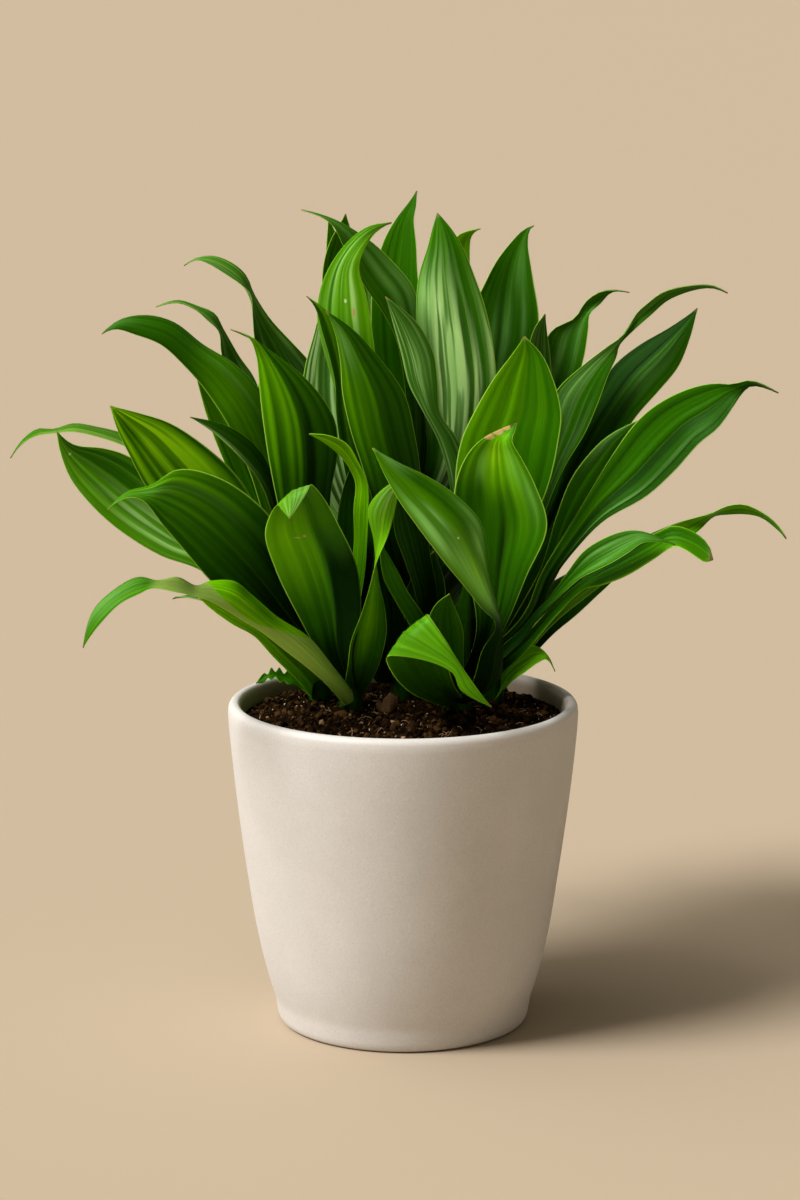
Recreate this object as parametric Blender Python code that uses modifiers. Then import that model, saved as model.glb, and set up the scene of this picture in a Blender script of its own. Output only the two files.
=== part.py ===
"""Potted dracaena: leafy shoots in dark soil in a round tapered pot. Metres, +Z up, flat foot at z = 0."""
import math

import bmesh
import bpy
import numpy as np

MM = 0.001

# The pot: radius and height in mm, from the lip down the outside to the foot, and from the lip down the inside.
POT_OUTSIDE = [
    (120.3, 235), (122.7, 234.3), (124.4, 232.2), (125, 229), (124.8, 221), (124.1, 211), (123, 199),
    (119.6, 167), (115.6, 135), (111, 103), (106, 71), (99, 39), (95.6, 27), (92.6, 17), (91.2, 9),
    (90.2, 4.4), (88.8, 1.6), (86.8, 0.4), (84, 0), (0, 0)]
POT_INSIDE = [
    (0, 14), (70, 14), (78, 15.4), (83, 21), (89.3, 39), (96.3, 71), (101.4, 103), (110, 167),
    (115, 217), (115.5, 229), (116.2, 232.4), (118, 234.5)]
POT_STEPS = 44

# The soil: a mound inside the pot, with a gap to the wall and a lumpy top. Radius and height in mm.
SOIL_TOP = [(0, 229), (14, 228.9), (28, 228.6), (44, 228), (60, 227), (76, 225.8), (92, 224.4), (104, 223.2)]
SOIL_WALL_TOP = 222
SOIL_GAP = 0.3
SOIL_LUMP = 1.3
CHIP_AT = (-7, -32)
CHIP_SIZE = (12, 7, 11)

# The stems: foot x and y, height above the soil, and how far the top leans in x and y, in mm. Each ends in a
# pointed bud, given as heights over the top in mm and shares of the top radius.
STEMS = {
    "shoot_front_left": (-37, 2, 70, -6, -6),
    "shoot_front_right": (40, -2, 75, 4, -6),
    "shoot_middle": (0, 36, 150, 2, -4),
    "shoot_far_left": (-60, 34, 95, -14, 0),
    "shoot_far_right": (64, 32, 95, 14, 0),
    "shoot_back": (2, 84, 120, 0, 8),
}
SOIL_LEVEL = 229
STEM_ROOT = 28
STEM_RADIUS = 9
STEM_TOP_RADIUS = 6.5
STEM_BUD = [(0, 1), (12, 0.66), (24, 0.3), (32, 0.06)]
HOLE_RADIUS = 9.7

# The leaves. Each has the height on its stem that it grows from, its fold, how far it is turned about its own
# length from facing the front (to the right, and for a leaf that leans left, also up), both in degrees, and its
# stations up to the tip.
# A station is its two edges as seen square on from the front: across and above the rim, in the plane y = 0,
# then the blade's depth in y and how much deeper the second edge lies. The last station is the tip.
EYE = np.array([-0.0022, -2.6, 0.831])
RIM_HEIGHT = 0.235
BLADE_THICK = 1.0
BLADE_FOOT = 14
BLADE_PIECES = 12
SHORT_PIECES = 8
REAR_PIECES = 8
TIP_HALF_WIDTH = 0.5
FRONT_LEFT_LEAVES = {
    "low_arch_left": (4, -16, 42, [
        (-58, 14, -48, 22, -38, 0), (-84, 36, -68, 46, -62, 0), (-101, 50, -90, 61, -76, 0),
        (-114, 58, -107, 77, -86, 0), (-127, 66, -120, 87, -93, 0), (-139, 72, -137, 87, -98, 6),
        (-149, 75, -147, 83, -101, 12), (-160, 77, -160, 89, -103, 14), (-178, 80, -174, 86, -106, 16),
        (-188, 76, -188, 88.5, -109, 10), (-202, 69, -206, 79, -113, 8), (-217, 54, -221, 64, -117, 6),
        (-228, 38, -122)]),
    "folded_top": (10, 14, -17, [
        (-60, 32, -35, 30, -34, 0), (-75, 62, -30, 66, -48, 0), (-90, 94, -33, 100, -58, 0),
        (-98, 120, -45, 126, -66, 0), (-93, 136, -57, 147, -72, 0), (-88, 141, -65, 156, -78, 0),
        (-87, 139, -66, 153, -81, 0), (-80, 131, -88)]),
    "front_twist": (6, 10, 0, [
        (-39.5, 25, -17, 26, -34, 0), (-37, 44, -12, 48, -44, 2), (-30, 62, -13, 66, -52, 6),
        (-23, 82, -16, 84, -60, 12), (-18, 100, -18.5, 101, -66, 14), (-11, 118, -21, 117, -70, 8),
        (-6.5, 134, -25, 137, -74, 2), (-3, 149, -16, 151, -78, 0), (4, 164, -84)]),
    "broad_left": (18, 12, 30, [
        (-84, 38, -56, 64, -22, 0), (-110, 62, -76, 104, -38, 0), (-136, 86, -99, 138, -54, 0),
        (-156, 109, -130, 161, -64, 0), (-171, 127, -159, 167, -72, 4), (-184, 144, -178, 156, -78, 14),
        (-197, 146, -195, 151, -83, 10), (-209, 138, -87)]),
    "tall_left": (36, -12, 20, [
        (-79, 100, -50, 104, -16, 0), (-89, 142, -51, 146, -22, 0), (-95, 174, -46, 178, -28, 0),
        (-99, 205, -49, 204, -32, 0), (-101, 228, -65, 228, -36, 0), (-103, 248, -87, 247, -40, 0),
        (-108, 260, -102, 257, -43, 4), (-121, 266, -46)]),
    "shaded_inner": (26, 12, -20, [
        (-46, 84, -22, 88, -16, 0), (-48, 118, -20, 122, -22, 0), (-44, 148, -24, 152, -27, 0),
        (-36, 171, -32)]),
    "thin_hook": (46, 10, -20, [
        (-36, 108, -26, 108, -26, -8), (-35, 138, -24, 140, -42, -10), (-33, 157, -26, 158, -50, -12),
        (-38, 169, -32, 171, -55, -12), (-46, 178, -40, 185, -59, -10), (-55, 185, -52, 191, -62, -6),
        (-66, 192, -65)]),
}
FRONT_RIGHT_LEAVES = {
    "front_sweep": (6, -14, 34, [
        (50, 14, 69, 16, -42, 0), (56, 36, 71, 34, -58, 6), (65, 55, 69, 56, -74, 12),
        (55, 67, 66, 74, -84, 8), (44, 82, 63, 92, -92, 4), (32, 97, 60, 113, -99, 0),
        (20, 113, 54, 131, -104, 0), (8, 129, 36, 149, -108, 0), (-3, 144, 16, 162, -111, 0),
        (-12, 160, 0, 170, -114, 0), (-21.5, 182, -118)]),
    "front_curl": (2, 10, 0, [
        (8, 4, 36, 12, -52, 0), (-7, 18, 28, 38, -78, 0), (-10, 31, 18, 62, -92, 0),
        (14, 29, 30, 44, -104, 0), (35, 20, 40, 28, -109, 4), (42, 6, 51, 11, -111, 0),
        (63, -5, -108)]),
    "small_upright": (8, 14, 20, [
        (26, 22, 43, 24, -32, 0), (17, 52, 43, 50, -44, 0), (24, 70, 37, 67, -50, 0), (33, 77, -54)]),
    "thin_slant": (5, 12, -20, [
        (20, 30, 30, 36, -34, 4), (6, 52, 16, 60, -42, 8), (-6, 73, 3, 79, -48, 8),
        (-14, 90, -6, 98, -52, 6), (-17, 116, -56)]),
    "bright_broad": (14, 14, -24, [
        (52, 50, 72, 52, -44, 0), (46, 90, 88, 90, -58, 0), (38, 125, 102, 125, -68, 0),
        (37, 155, 94, 153, -74, 0), (45, 177, 84, 174, -79, 0), (56, 189, 77, 187, -82, 0),
        (67, 195, 79, 194, -80, 0), (80, 200, -74)]),
    "bright_tall": (40, 14, -22, [
        (44, 110, 84, 112, -24, 0), (37, 155, 103, 155, -36, 0), (41, 188, 110, 190, -42, 0),
        (51, 210, 111, 208, -45, 0), (64, 232, 105, 232, -48, 0), (76, 248, 97, 249, -50, 0),
        (85, 261, -52)]),
    "long_right": (22, 12, -32, [
        (84, 60, 94, 58, -26, 6), (98, 92, 108, 89, -34, 6), (114, 120, 124, 111, -40, 4),
        (130, 148, 143, 130, -45, 4), (148, 178, 172, 147, -50, 0), (166, 202, 192, 166, -54, 0),
        (184, 216, 208, 185, -58, 0), (204, 225, 222, 197, -62, 0), (220, 228, 232, 211, -65, 0),
        (231, 227.5, 238, 220, -68, 6), (244, 230, 245, 226, -71, 10), (264, 221, -76)]),
    "torn_right": (8, 14, -42, [
        (84, 44, 90, 38, -46, 4), (104, 66, 109, 61, -58, 4), (122, 83, 128, 80, -67, 4),
        (136, 96, 142, 84, -73, 0), (154, 107, 160, 91, -79, 0), (170, 116, 177, 101, -85, 0),
        (182, 122, 193, 111, -91, 0), (191, 126, 201, 108, -95, 0), (206, 122, 209, 103, -99, 0),
        (217, 112, 215, 100, -103, 0), (220, 102, -105)]),
    "gloss_right": (16, 12, -44, [
        (82, 50, 87, 46, -58, 0), (93, 64, 96, 60, -66, 0), (106, 78, 111, 75, -74, 0),
        (117, 93, 126, 88, -80, 0), (129, 108, 140, 95, -86, 0), (143, 117, 151, 101, -91, 0),
        (156, 122, 161, 108, -95, 0), (166, 123, 169, 114, -98, 0), (176, 120.5, 177, 115, -101, 0),
        (193, 112.5, -105)]),
}
MIDDLE_LEAVES = {
    "centre_fold": (52, -16, 22, [
        (-14, 112, 14, 116, -6, 0), (-26, 160, 13, 160, -18, 0), (-37, 195, 8, 192, -26, 0),
        (-43, 222, 0, 222, -32, 0), (-44.5, 243, -19, 249, -37, 0), (-48, 264, -36, 267, -41, 0),
        (-54, 279, -45)]),
    "centre_strip": (64, -10, 10, [
        (-30, 122, -18, 124, 6, 0), (-41, 165, -26, 166, -4, 0), (-47, 205, -35, 206, -12, 0),
        (-48, 228, -38, 229, -17, 0), (-52, 247, -41, 250, -22, 0), (-57, 265, -46, 268, -26, 0),
        (-61, 280, -53, 279, -29, 0), (-67.5, 289.5, -32)]),
    "pale_inner": (78, 12, -20, [
        (-52, 145, -26, 150, 26, 0), (-66, 185, -33, 188, 20, 0), (-71, 216, -36, 216, 16, 0),
        (-69, 240, -39, 240, 13, 0), (-63, 262, -44, 262, 10, 0), (-56, 286, 8)]),
    "top_curl": (92, -14, -30, [
        (-26, 160, 0, 164, 14, 0), (-42, 205, -10, 208, 4, 0), (-54, 243, -18, 243, -4, 0),
        (-60, 272, -22, 268, -10, 0), (-58, 293, -26, 289, -14, 0), (-50, 312, -31, 307, -18, 0),
        (-38, 328, -29, 318, -21, 0), (-24, 338.5, -20, 333, -24, 4), (-8, 341, -27)]),
    "long_dark": (108, 14, 28, [
        (2, 170, 26, 176, 22, 0), (3, 205, 26, 210, 16, 0), (-1, 240, 19, 246, 12, 2),
        (-7, 263, 12, 272, 9, 4), (-16, 280, 7, 295, 6, 4), (-28, 298, -8, 314, 4, 4),
        (-40, 322, -25, 330, 2, 4), (-50, 340.5, -46, 343, 0, 6), (-71, 350, -2)]),
    "top_back_left": (122, 12, 20, [
        (-30, 190, -6, 196, 34, 0), (-52, 245, -20, 250, 30, 0), (-57, 295, -26, 298, 28, 0),
        (-53, 322, -32, 322, 28, 0), (-40, 347, 28)]),
    "centre_slant": (58, -14, -16, [
        (27, 110, 44, 114, -6, 0), (33, 150, 50, 156, -14, 0), (25, 186, 39, 188, -20, 2),
        (13, 210, 26, 208, -24, 4), (4, 228, 24, 232, -27, 0), (-1, 248, 21, 250, -30, 0),
        (-6, 266, 11, 269, -33, 0), (-10, 281, 0, 280, -36, 0), (-12, 289, -38)]),
    "shaded_centre": (18, 12, 20, [
        (10, 66, 24, 70, -10, 0), (2, 98, 20, 102, -24, 0), (-6, 124, 15, 128, -34, 0),
        (-4, 152, -42)]),
    "pale_broad": (112, -10, -14, [
        (16, 170, 54, 174, 16, 0), (14, 215, 65, 215, 10, 0), (10, 255, 64, 252, 8, 0),
        (9, 285, 57, 283, 8, 0), (11, 305, 50, 303, 10, 0), (17, 324, 41, 325, 12, 0),
        (21, 339, 32, 339, 15, 0), (24, 347.5, 18)]),
    "top_centre": (136, 12, -25, [
        (-18, 215, 18, 218, 44, 0), (-22, 262, 16, 262, 44, 0), (-21, 300, 11, 300, 46, 0),
        (-14, 328, 9.5, 326, 49, 0), (-5, 344, 7.5, 343, 52, 0), (3, 354, 9, 353, 54, 0),
        (9.5, 363, 57)]),
    "low_middle_left": (10, 12, -16, [
        (-20, 14, 0, 14, 24, 0), (-25, 36, 2, 36, 12, 0), (-30, 62, 4, 62, 2, 0),
        (-28, 88, -2, 90, -6, 0), (-20, 114, -12)]),
    "low_middle_right": (22, 12, 20, [
        (2, 44, 26, 46, 12, 0), (0, 72, 30, 74, 0, 0), (8, 92, 28, 92, -6, 0), (22, 108, -10)]),
    "top_small": (128, 14, 25, [
        (24, 215, 56, 218, 38, 0), (26, 255, 54, 256, 36, 0), (27, 290, 49, 292, 36, 0),
        (30, 315, 46.5, 315, 37, 0), (38, 332, 47.5, 331, 39, 0), (54, 336.5, 41)]),
}
FAR_LEFT_LEAVES = {
    "far_left_arch": (52, 8, 42, [
        (-104, 108, -94, 122, 34, 14), (-134, 142, -124, 154, 38, 16), (-165, 164, -158, 176, 40, 16),
        (-197, 184, -200, 194, 42, 18), (-216, 191, -215, 198, 42, 18),
        (-232, 194.5, -232, 200.5, 41, 16), (-245, 193.5, -246, 196, 40, 14),
        (-259, 191, -258, 195.5, 38, 10), (-270, 184, -269, 187, 36, 6), (-277, 175, 34)]),
    "outer_left": (16, 12, 32, [
        (-108, 62, -90, 84, 12, 0), (-143, 94, -128, 118, 2, 0), (-172, 105, -150, 140, -6, 0),
        (-200, 122, -172, 160, -12, 0), (-220, 140, -194, 176, -17, 0), (-235, 160, -212, 182, -21, 0),
        (-242, 180, -232, 184.5, -24, 0), (-244, 194, -26)]),
    "bright_left": (32, 14, 30, [
        (-104, 72, -82, 96, 4, 0), (-134, 96, -99, 130, -10, 0), (-160, 122, -116, 160, -20, 0),
        (-182, 154, -140, 184, -28, 0), (-194, 178, -164, 200, -34, 0), (-202, 197, -186, 207, -39, 0),
        (-206, 212, -43)]),
    "arch_left": (62, -12, 32, [
        (-98, 130, -74, 140, 14, 0), (-110, 168, -84, 184, 8, 0), (-124, 200, -98, 219, 2, 0),
        (-140, 225, -118, 242, -3, 0), (-153, 240, -140, 256, -7, 4), (-170, 255, -160, 271, -11, 4),
        (-188, 262, -180, 276, -15, 2), (-201, 266, -198, 273, -19, 4), (-211, 263, -22)]),
    "under_arch_left": (50, 12, 22, [
        (-102, 118, -82, 126, 20, 0), (-121, 160, -94, 170, 16, 0), (-133, 190, -106, 204, 12, 0),
        (-141, 215, -124, 224, 10, 0), (-147, 240, 9)]),
    "small_dark_curl": (42, -14, 28, [
        (-90, 126, -82, 134, -2, 0), (-100, 156, -91, 163, -16, 0), (-112, 172, -103, 182, -24, 0),
        (-124, 184, -118, 194.5, -30, 0), (-138, 196, -134, 201, -35, 0), (-150, 204, -39)]),
    "low_dark_left": (2, 12, 30, [
        (-76, 14, -62, 24, 10, 0), (-92, 31, -80, 42, -4, 0), (-106, 46, -98, 56, -16, 0),
        (-122, 55, -116, 68, -28, 0), (-135, 65, -132, 74, -38, 0), (-145, 74, -46)]),
    "crinkled_low": (1, 10, 28, [
        (-77, 11, -76, 18, 28, 0), (-82, 11, -82, 22, 27, 0), (-85, 14, -85, 19, 27, 0),
        (-88, 12, -88, 24, 26, 0), (-91, 16.5, -91, 20.5, 26, 0), (-94, 14, -94, 24, 25, 0),
        (-96.5, 16, -96.5, 18.5, 25, 0), (-99, 13, -99, 19.5, 25, 0), (-105, 12, 24)]),
    "thin_twist_left": (82, 12, 20, [
        (-110, 185, -94, 194, 34, 0), (-123, 226, -104, 231, 33, 0), (-127, 250, -116, 248, 33, 6),
        (-128.5, 265, -126.5, 266, 33, 12), (-137, 273, -132, 277, 33, 10),
        (-146, 280.5, -143, 282.5, 33, 10), (-158, 285, -157, 287, 33, 8), (-173, 282, 33)]),
}
FAR_RIGHT_LEAVES = {
    "far_right_arch": (10, 10, -40, [
        (98, 60, 106, 54, 4, 6), (122, 82, 132, 76, -16, 8), (148, 104, 158, 96, -34, 8),
        (172, 119, 184, 108, -48, 8), (194, 128, 207, 121, -58, 10), (218, 134.5, 220, 133, -65, 14),
        (229, 140, 229, 134, -68, 12), (242, 141.5, 243, 134, -72, 12), (256, 135, 254, 131.5, -76, 10),
        (266, 126, 265, 123.5, -79, 6), (271.5, 117, -82)]),
    "under_right": (4, 10, -30, [
        (94, 48, 103, 44, 24, 0), (114, 68, 124, 62, 14, 0), (132, 83, 140, 78, 4, 0), (154, 91, -6)]),
    "small_low_right": (2, 12, -40, [
        (74, 29, 76, 12, 14, 0), (84, 38, 88, 20, 8, 0), (93, 40, 96, 27, 4, 0),
        (101, 35.5, 102, 30, 0, 0), (108.5, 21, -3)]),
    "shaded_right": (24, 12, -22, [
        (96, 92, 108, 88, 8, 0), (108, 132, 126, 124, 0, 0), (118, 158, 142, 146, -6, 0),
        (130, 176, 156, 166, -11, 0), (145, 191, 164, 186, -16, 0), (168, 203, -20)]),
    "wide_right": (50, -12, -30, [
        (98, 130, 116, 126, 22, 0), (110, 168, 136, 158, 19, 0), (123, 200, 152, 184, 17, 0),
        (138, 224, 165, 205, 15, 0), (149, 241, 180, 223, 14, 0), (166, 255, 193, 240, 13, 0),
        (186, 267, 201, 260, 13, 0), (198, 275, 204, 271, 13, 0), (206, 281, 13)]),
    "twisted_right": (64, 12, -22, [
        (92, 160, 112, 164, 12, 0), (98, 195, 128, 192, 6, 0), (107, 222, 137, 214, 2, 0),
        (124, 239, 144, 234, -1, 0), (142, 253, 150, 247, -4, 4), (154, 262, 152, 255, -6, 8),
        (163, 277, 162, 266, -8, 6), (170, 284, 173, 276, -10, 6), (182, 293, 185, 287, -12, 8),
        (200, 297, 202, 293.5, -14, 8), (216, 297, 216, 295, -16, 6), (227, 291.5, -18)]),
    "small_tip_right": (68, 10, 20, [
        (84, 175, 100, 178, 32, 0), (84, 218, 104, 220, 24, 0), (87, 250, 103, 248, 18, 0),
        (92, 267, 101, 264, 15, 0), (99.5, 277, 14)]),
}
BACK_LEAVES = {
    "tall_right": (100, 12, -22, [
        (34, 190, 70, 194, 62, 0), (42, 240, 93, 244, 54, 0), (49, 280, 95, 276, 51, 0),
        (57, 298, 91, 299, 50, 0), (66, 315, 88.5, 314, 49, 0), (76, 328, 87, 326, 49, 0),
        (84, 336, 88, 335, 49, 0), (91, 339, 49)]),
    "back_right": (84, 12, -17, [
        (72, 175, 96, 178, 60, 0), (86, 215, 118, 218, 52, 0), (96, 246, 127, 246, 47, 0),
        (105, 266, 130, 266, 44, 0), (120, 274, 131, 277, 42, 0), (128, 286, 138, 284, 41, 4),
        (140, 293, 146, 292, 40, 6), (158, 292, 39)]),
    "back_left": (96, 12, 22, [
        (-70, 195, -38, 205, 66, 0), (-98, 238, -66, 244, 60, 0), (-104, 256, -76, 255, 58, 0),
        (-106, 275, -94, 274, 57, 8), (-107, 290, -105, 291, 56, 16), (-113, 297, -109.5, 303, 56, 10),
        (-124, 305, -118, 312, 56, 6), (-136, 312.5, -132, 318, 56, 6), (-145, 315, -144, 316.5, 55, 4),
        (-153, 311, 54)]),
    "back_top_left": (110, 10, 14, [
        (-40, 215, -20, 222, 66, 0), (-52, 265, -30, 270, 60, 0), (-54, 310, -38, 312, 57, 0),
        (-52, 344, 56)]),
}
LEAVES = {
    "shoot_front_left": FRONT_LEFT_LEAVES,
    "shoot_front_right": FRONT_RIGHT_LEAVES,
    "shoot_middle": MIDDLE_LEAVES,
    "shoot_far_left": FAR_LEFT_LEAVES,
    "shoot_far_right": FAR_RIGHT_LEAVES,
    "shoot_back": BACK_LEAVES,
}

# The rear leaves follow one rule. Each has the height it grows from, its azimuth, its lean from upright at the
# foot, the lean it gains by the tip, its length and its width, in mm and degrees.
REAR_FOLD = -14
REAR_LEAVES = {
    "shoot_back": [
        (6, 66, 54, 52, 225, 46), (10, 114, 52, 56, 225, 48), (18, 90, 50, 52, 240, 52),
        (26, 46, 46, 50, 235, 50), (32, 126, 46, 50, 235, 50), (44, 76, 36, 46, 255, 56),
        (54, 104, 35, 44, 255, 54), (62, 52, 30, 44, 250, 50), (70, 128, 30, 44, 245, 50),
        (84, 90, 22, 38, 265, 58), (94, 66, 14, 34, 245, 48), (104, 120, 13, 34, 245, 48)],
    "shoot_far_left": [
        (20, 132, 60, 52, 190, 44), (34, 122, 46, 46, 215, 44), (56, 115, 36, 42, 230, 48),
        (74, 104, 26, 40, 215, 42)],
    "shoot_far_right": [
        (18, 50, 55, 42, 188, 44), (36, 64, 46, 44, 215, 44), (56, 54, 36, 40, 235, 48),
        (78, 74, 28, 40, 205, 40)],
}
# Along a rear leaf: the step on its path, and its width there as a share of the full width.
REAR_WIDTHS = [(7, 0.62), (12, 0.88), (17, 1.0), (22, 0.9), (26, 0.66), (30, 0.26), (32, 0.02)]
REAR_STEPS = 32

COLOURS = {
    "pot": (0.60, 0.55, 0.47), "soil": (0.035, 0.018, 0.010),
    "shoot_front_left": (0.075, 0.22, 0.012), "shoot_front_right": (0.08, 0.23, 0.014),
    "shoot_middle": (0.05, 0.17, 0.015), "shoot_far_left": (0.065, 0.20, 0.012),
    "shoot_far_right": (0.05, 0.17, 0.014), "shoot_back": (0.04, 0.14, 0.013),
}
ROUGHNESS = {"pot": 0.78, "soil": 0.95}
LEAF_ROUGHNESS = 0.34


def clear_scene():
    for item in list(bpy.data.objects):
        bpy.data.objects.remove(item, do_unlink=True)


def collection(name):
    made = bpy.data.collections.new(name)
    bpy.context.scene.collection.children.link(made)
    return made


def add_mesh(name, points, faces, into):
    mesh = bpy.data.meshes.new(name)
    mesh.from_pydata([tuple(p) for p in points], [], [tuple(f) for f in faces])
    mesh.update()
    item = bpy.data.objects.new(name, mesh)
    into.objects.link(item)
    return item


def bake(item):
    """Make the modifiers' result the object's own mesh."""
    bpy.context.view_layer.update()
    evaluated = item.evaluated_get(bpy.context.evaluated_depsgraph_get())
    mesh = bpy.data.meshes.new_from_object(evaluated)
    item.modifiers.clear()
    if item.type != "MESH":
        made = bpy.data.objects.new(item.name, mesh)
        item.users_collection[0].objects.link(made)
        bpy.data.objects.remove(item, do_unlink=True)
        return made
    item.data = mesh
    return item


def screw(name, profile, steps, into):
    """Spin a profile in the XZ plane, given in mm and running top to bottom, round the Z axis."""
    points = [(r * MM, 0, z * MM) for r, z in profile]
    mesh = bpy.data.meshes.new(name)
    mesh.from_pydata(points, [(k, k + 1) for k in range(len(points) - 1)], [])
    item = bpy.data.objects.new(name, mesh)
    into.objects.link(item)
    spin = item.modifiers.new("spin", "SCREW")
    spin.axis = "Z"
    spin.angle = math.tau
    spin.steps = steps
    spin.render_steps = steps
    spin.use_merge_vertices = True
    spin.merge_threshold = 0.00001
    spin.use_normal_calculate = True
    return bake(item)


def material(name):
    made = bpy.data.materials.new(name)
    made.use_nodes = True
    shader = made.node_tree.nodes["Principled BSDF"]
    shader.inputs["Base Color"].default_value = (*COLOURS[name], 1)
    shader.inputs["Roughness"].default_value = ROUGHNESS.get(name, LEAF_ROUGHNESS)
    shader.inputs["Metallic"].default_value = 0
    return made


def dress(item, flat=False):
    item.data.materials.clear()
    item.data.materials.append(material(item.name))
    item.data.polygons.foreach_set("use_smooth", [not flat] * len(item.data.polygons))
    item.data.update()


def unit(vectors):
    return vectors / np.maximum(np.linalg.norm(vectors, axis=-1, keepdims=True), 1e-12)


def seen(across, above, depth):
    """The point at this depth on the line of sight through a spot in the plane y = 0, all in mm."""
    spot = np.array([across * MM, 0, RIM_HEIGHT + above * MM])
    return EYE + (spot - EYE) * (depth * MM - EYE[1]) / -EYE[1]


def stem_axis(shoot, height):
    """The stem's middle at a height above the soil: it leans more and more towards its top."""
    x, y, top, lean_x, lean_y = STEMS[shoot]
    share = max(height / top, 0)
    return np.array([x + lean_x * share**2, y + lean_y * share**2, SOIL_LEVEL + height]) * MM


def front_rows(shoot, grows, turned, stations):
    """The two edges of a front leaf, one row of six numbers a station, the first one inside the stem."""
    steep = math.tan(math.radians(turned))
    rows = []
    for station in stations:
        if len(station) == 3:
            tip = seen(*station)
            rows.append(np.concatenate([tip, tip]))
            continue
        across_a, above_a, across_b, above_b, depth, turn = station
        turn += steep * math.hypot(across_b - across_a, above_b - above_a)
        one = seen(across_a, above_a, depth - turn / 2)
        two = seen(across_b, above_b, depth + turn / 2)
        rows.append(np.concatenate([one, two]))
    root = stem_axis(shoot, grows)
    half = unit(rows[0][3:] - rows[0][:3]) * BLADE_FOOT * MM / 2
    return np.array([np.concatenate([root - half, root + half])] + rows)


def rear_rows(shoot, grows, azimuth, lean, gain, length, width):
    """The same rows for a rear leaf, on a path that leans over more and more towards its tip."""
    root = stem_axis(shoot, grows)
    turn = math.radians(azimuth)
    out = np.array([math.cos(turn), math.sin(turn), 0])
    side = np.array([-out[1], out[0], 0])
    share = np.linspace(0, 1, REAR_STEPS + 1)
    angle = np.radians(lean + gain * share**1.6)[:, None]
    step = length * MM / REAR_STEPS * (np.sin(angle) * out + np.cos(angle) * np.array([0, 0, 1]))
    path = root + np.cumsum(step, axis=0) - step[0]
    half = side * BLADE_FOOT * MM / 2
    rows = [np.concatenate([root - half, root + half])]
    for place, part in REAR_WIDTHS:
        half = side * part * width * MM / 2
        rows.append(np.concatenate([path[place] - half, path[place] + half]))
    return np.array(rows)


def smooth(rows, count):
    """A Catmull-Rom curve through the rows, spaced by the mid line's chords, read at count + 1 even places."""
    middle = (rows[:, :3] + rows[:, 3:]) / 2
    chord = np.maximum(np.linalg.norm(np.diff(middle, axis=0), axis=1), 0.004)
    at = np.concatenate([[0], np.cumsum(np.sqrt(chord))])
    before = (at[1:-1] - at[:-2])[:, None]
    after = (at[2:] - at[1:-1])[:, None]
    slope = np.empty_like(rows)
    rise = (rows[1:-1] - rows[:-2]) / before * after + (rows[2:] - rows[1:-1]) / after * before
    slope[1:-1] = rise / (before + after)
    slope[0] = (rows[1] - rows[0]) / (at[1] - at[0]) * 1.5 - slope[1] * 0.5
    slope[-1] = (rows[-1] - rows[-2]) / (at[-1] - at[-2]) * 1.5 - slope[-2] * 0.5
    reads = np.linspace(0, at[-1], 600)
    k = np.clip(np.searchsorted(at, reads, "right") - 1, 0, len(rows) - 2)
    span = (at[k + 1] - at[k])[:, None]
    s = (reads - at[k])[:, None] / span
    curve = (2 * s**3 - 3 * s**2 + 1) * rows[k] + (s**3 - 2 * s**2 + s) * span * slope[k]
    curve += (3 * s**2 - 2 * s**3) * rows[k + 1] + (s**3 - s**2) * span * slope[k + 1]
    walked = np.linalg.norm(np.diff((curve[:, :3] + curve[:, 3:]) / 2, axis=0), axis=1)
    walked = np.concatenate([[0], np.cumsum(walked)])
    even = np.linspace(0, walked[-1], count + 1)
    return np.stack([np.interp(even, walked, curve[:, n]) for n in range(6)], 1)


def blade(rows, fold, count):
    """A folded sheet: the two smoothed edges, and a mid line that sinks between them by the fold, more at the foot."""
    line = smooth(rows, count)
    middle = (line[:, :3] + line[:, 3:]) / 2
    half = (line[:, 3:] - line[:, :3]) / 2
    size = np.linalg.norm(half, axis=1, keepdims=True)
    side = half / np.maximum(size, 1e-9)
    side[-1] = side[-2]
    size = np.maximum(size, TIP_HALF_WIDTH * MM)
    along = unit(np.gradient(middle, axis=0))
    normal = unit(np.cross(side, along))
    share = np.linspace(0, 1, count + 1)
    angle = np.radians(abs(fold) + 20 * (1 - share) ** 3) * np.sign(fold)
    sunk = middle - normal * size * np.sin(angle)[:, None]
    return np.stack([middle - side * size, sunk, middle + side * size], 1)


def add_leaf(name, rows, fold, count, into):
    """A leaf as a triangle sheet, thickened the same way on both faces."""
    grid = blade(rows, fold, count)
    long, wide = grid.shape[:2]
    faces = []
    for i in range(long - 1):
        for j in range(wide - 1):
            a = i * wide + j
            faces.append((a, a + 1, a + wide + 1))
            faces.append((a, a + wide + 1, a + wide))
    item = add_mesh(name, grid.reshape(-1, 3), faces, into)
    thick = item.modifiers.new("thick", "SOLIDIFY")
    thick.thickness = BLADE_THICK * MM
    thick.offset = 0
    return bake(item)


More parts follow.
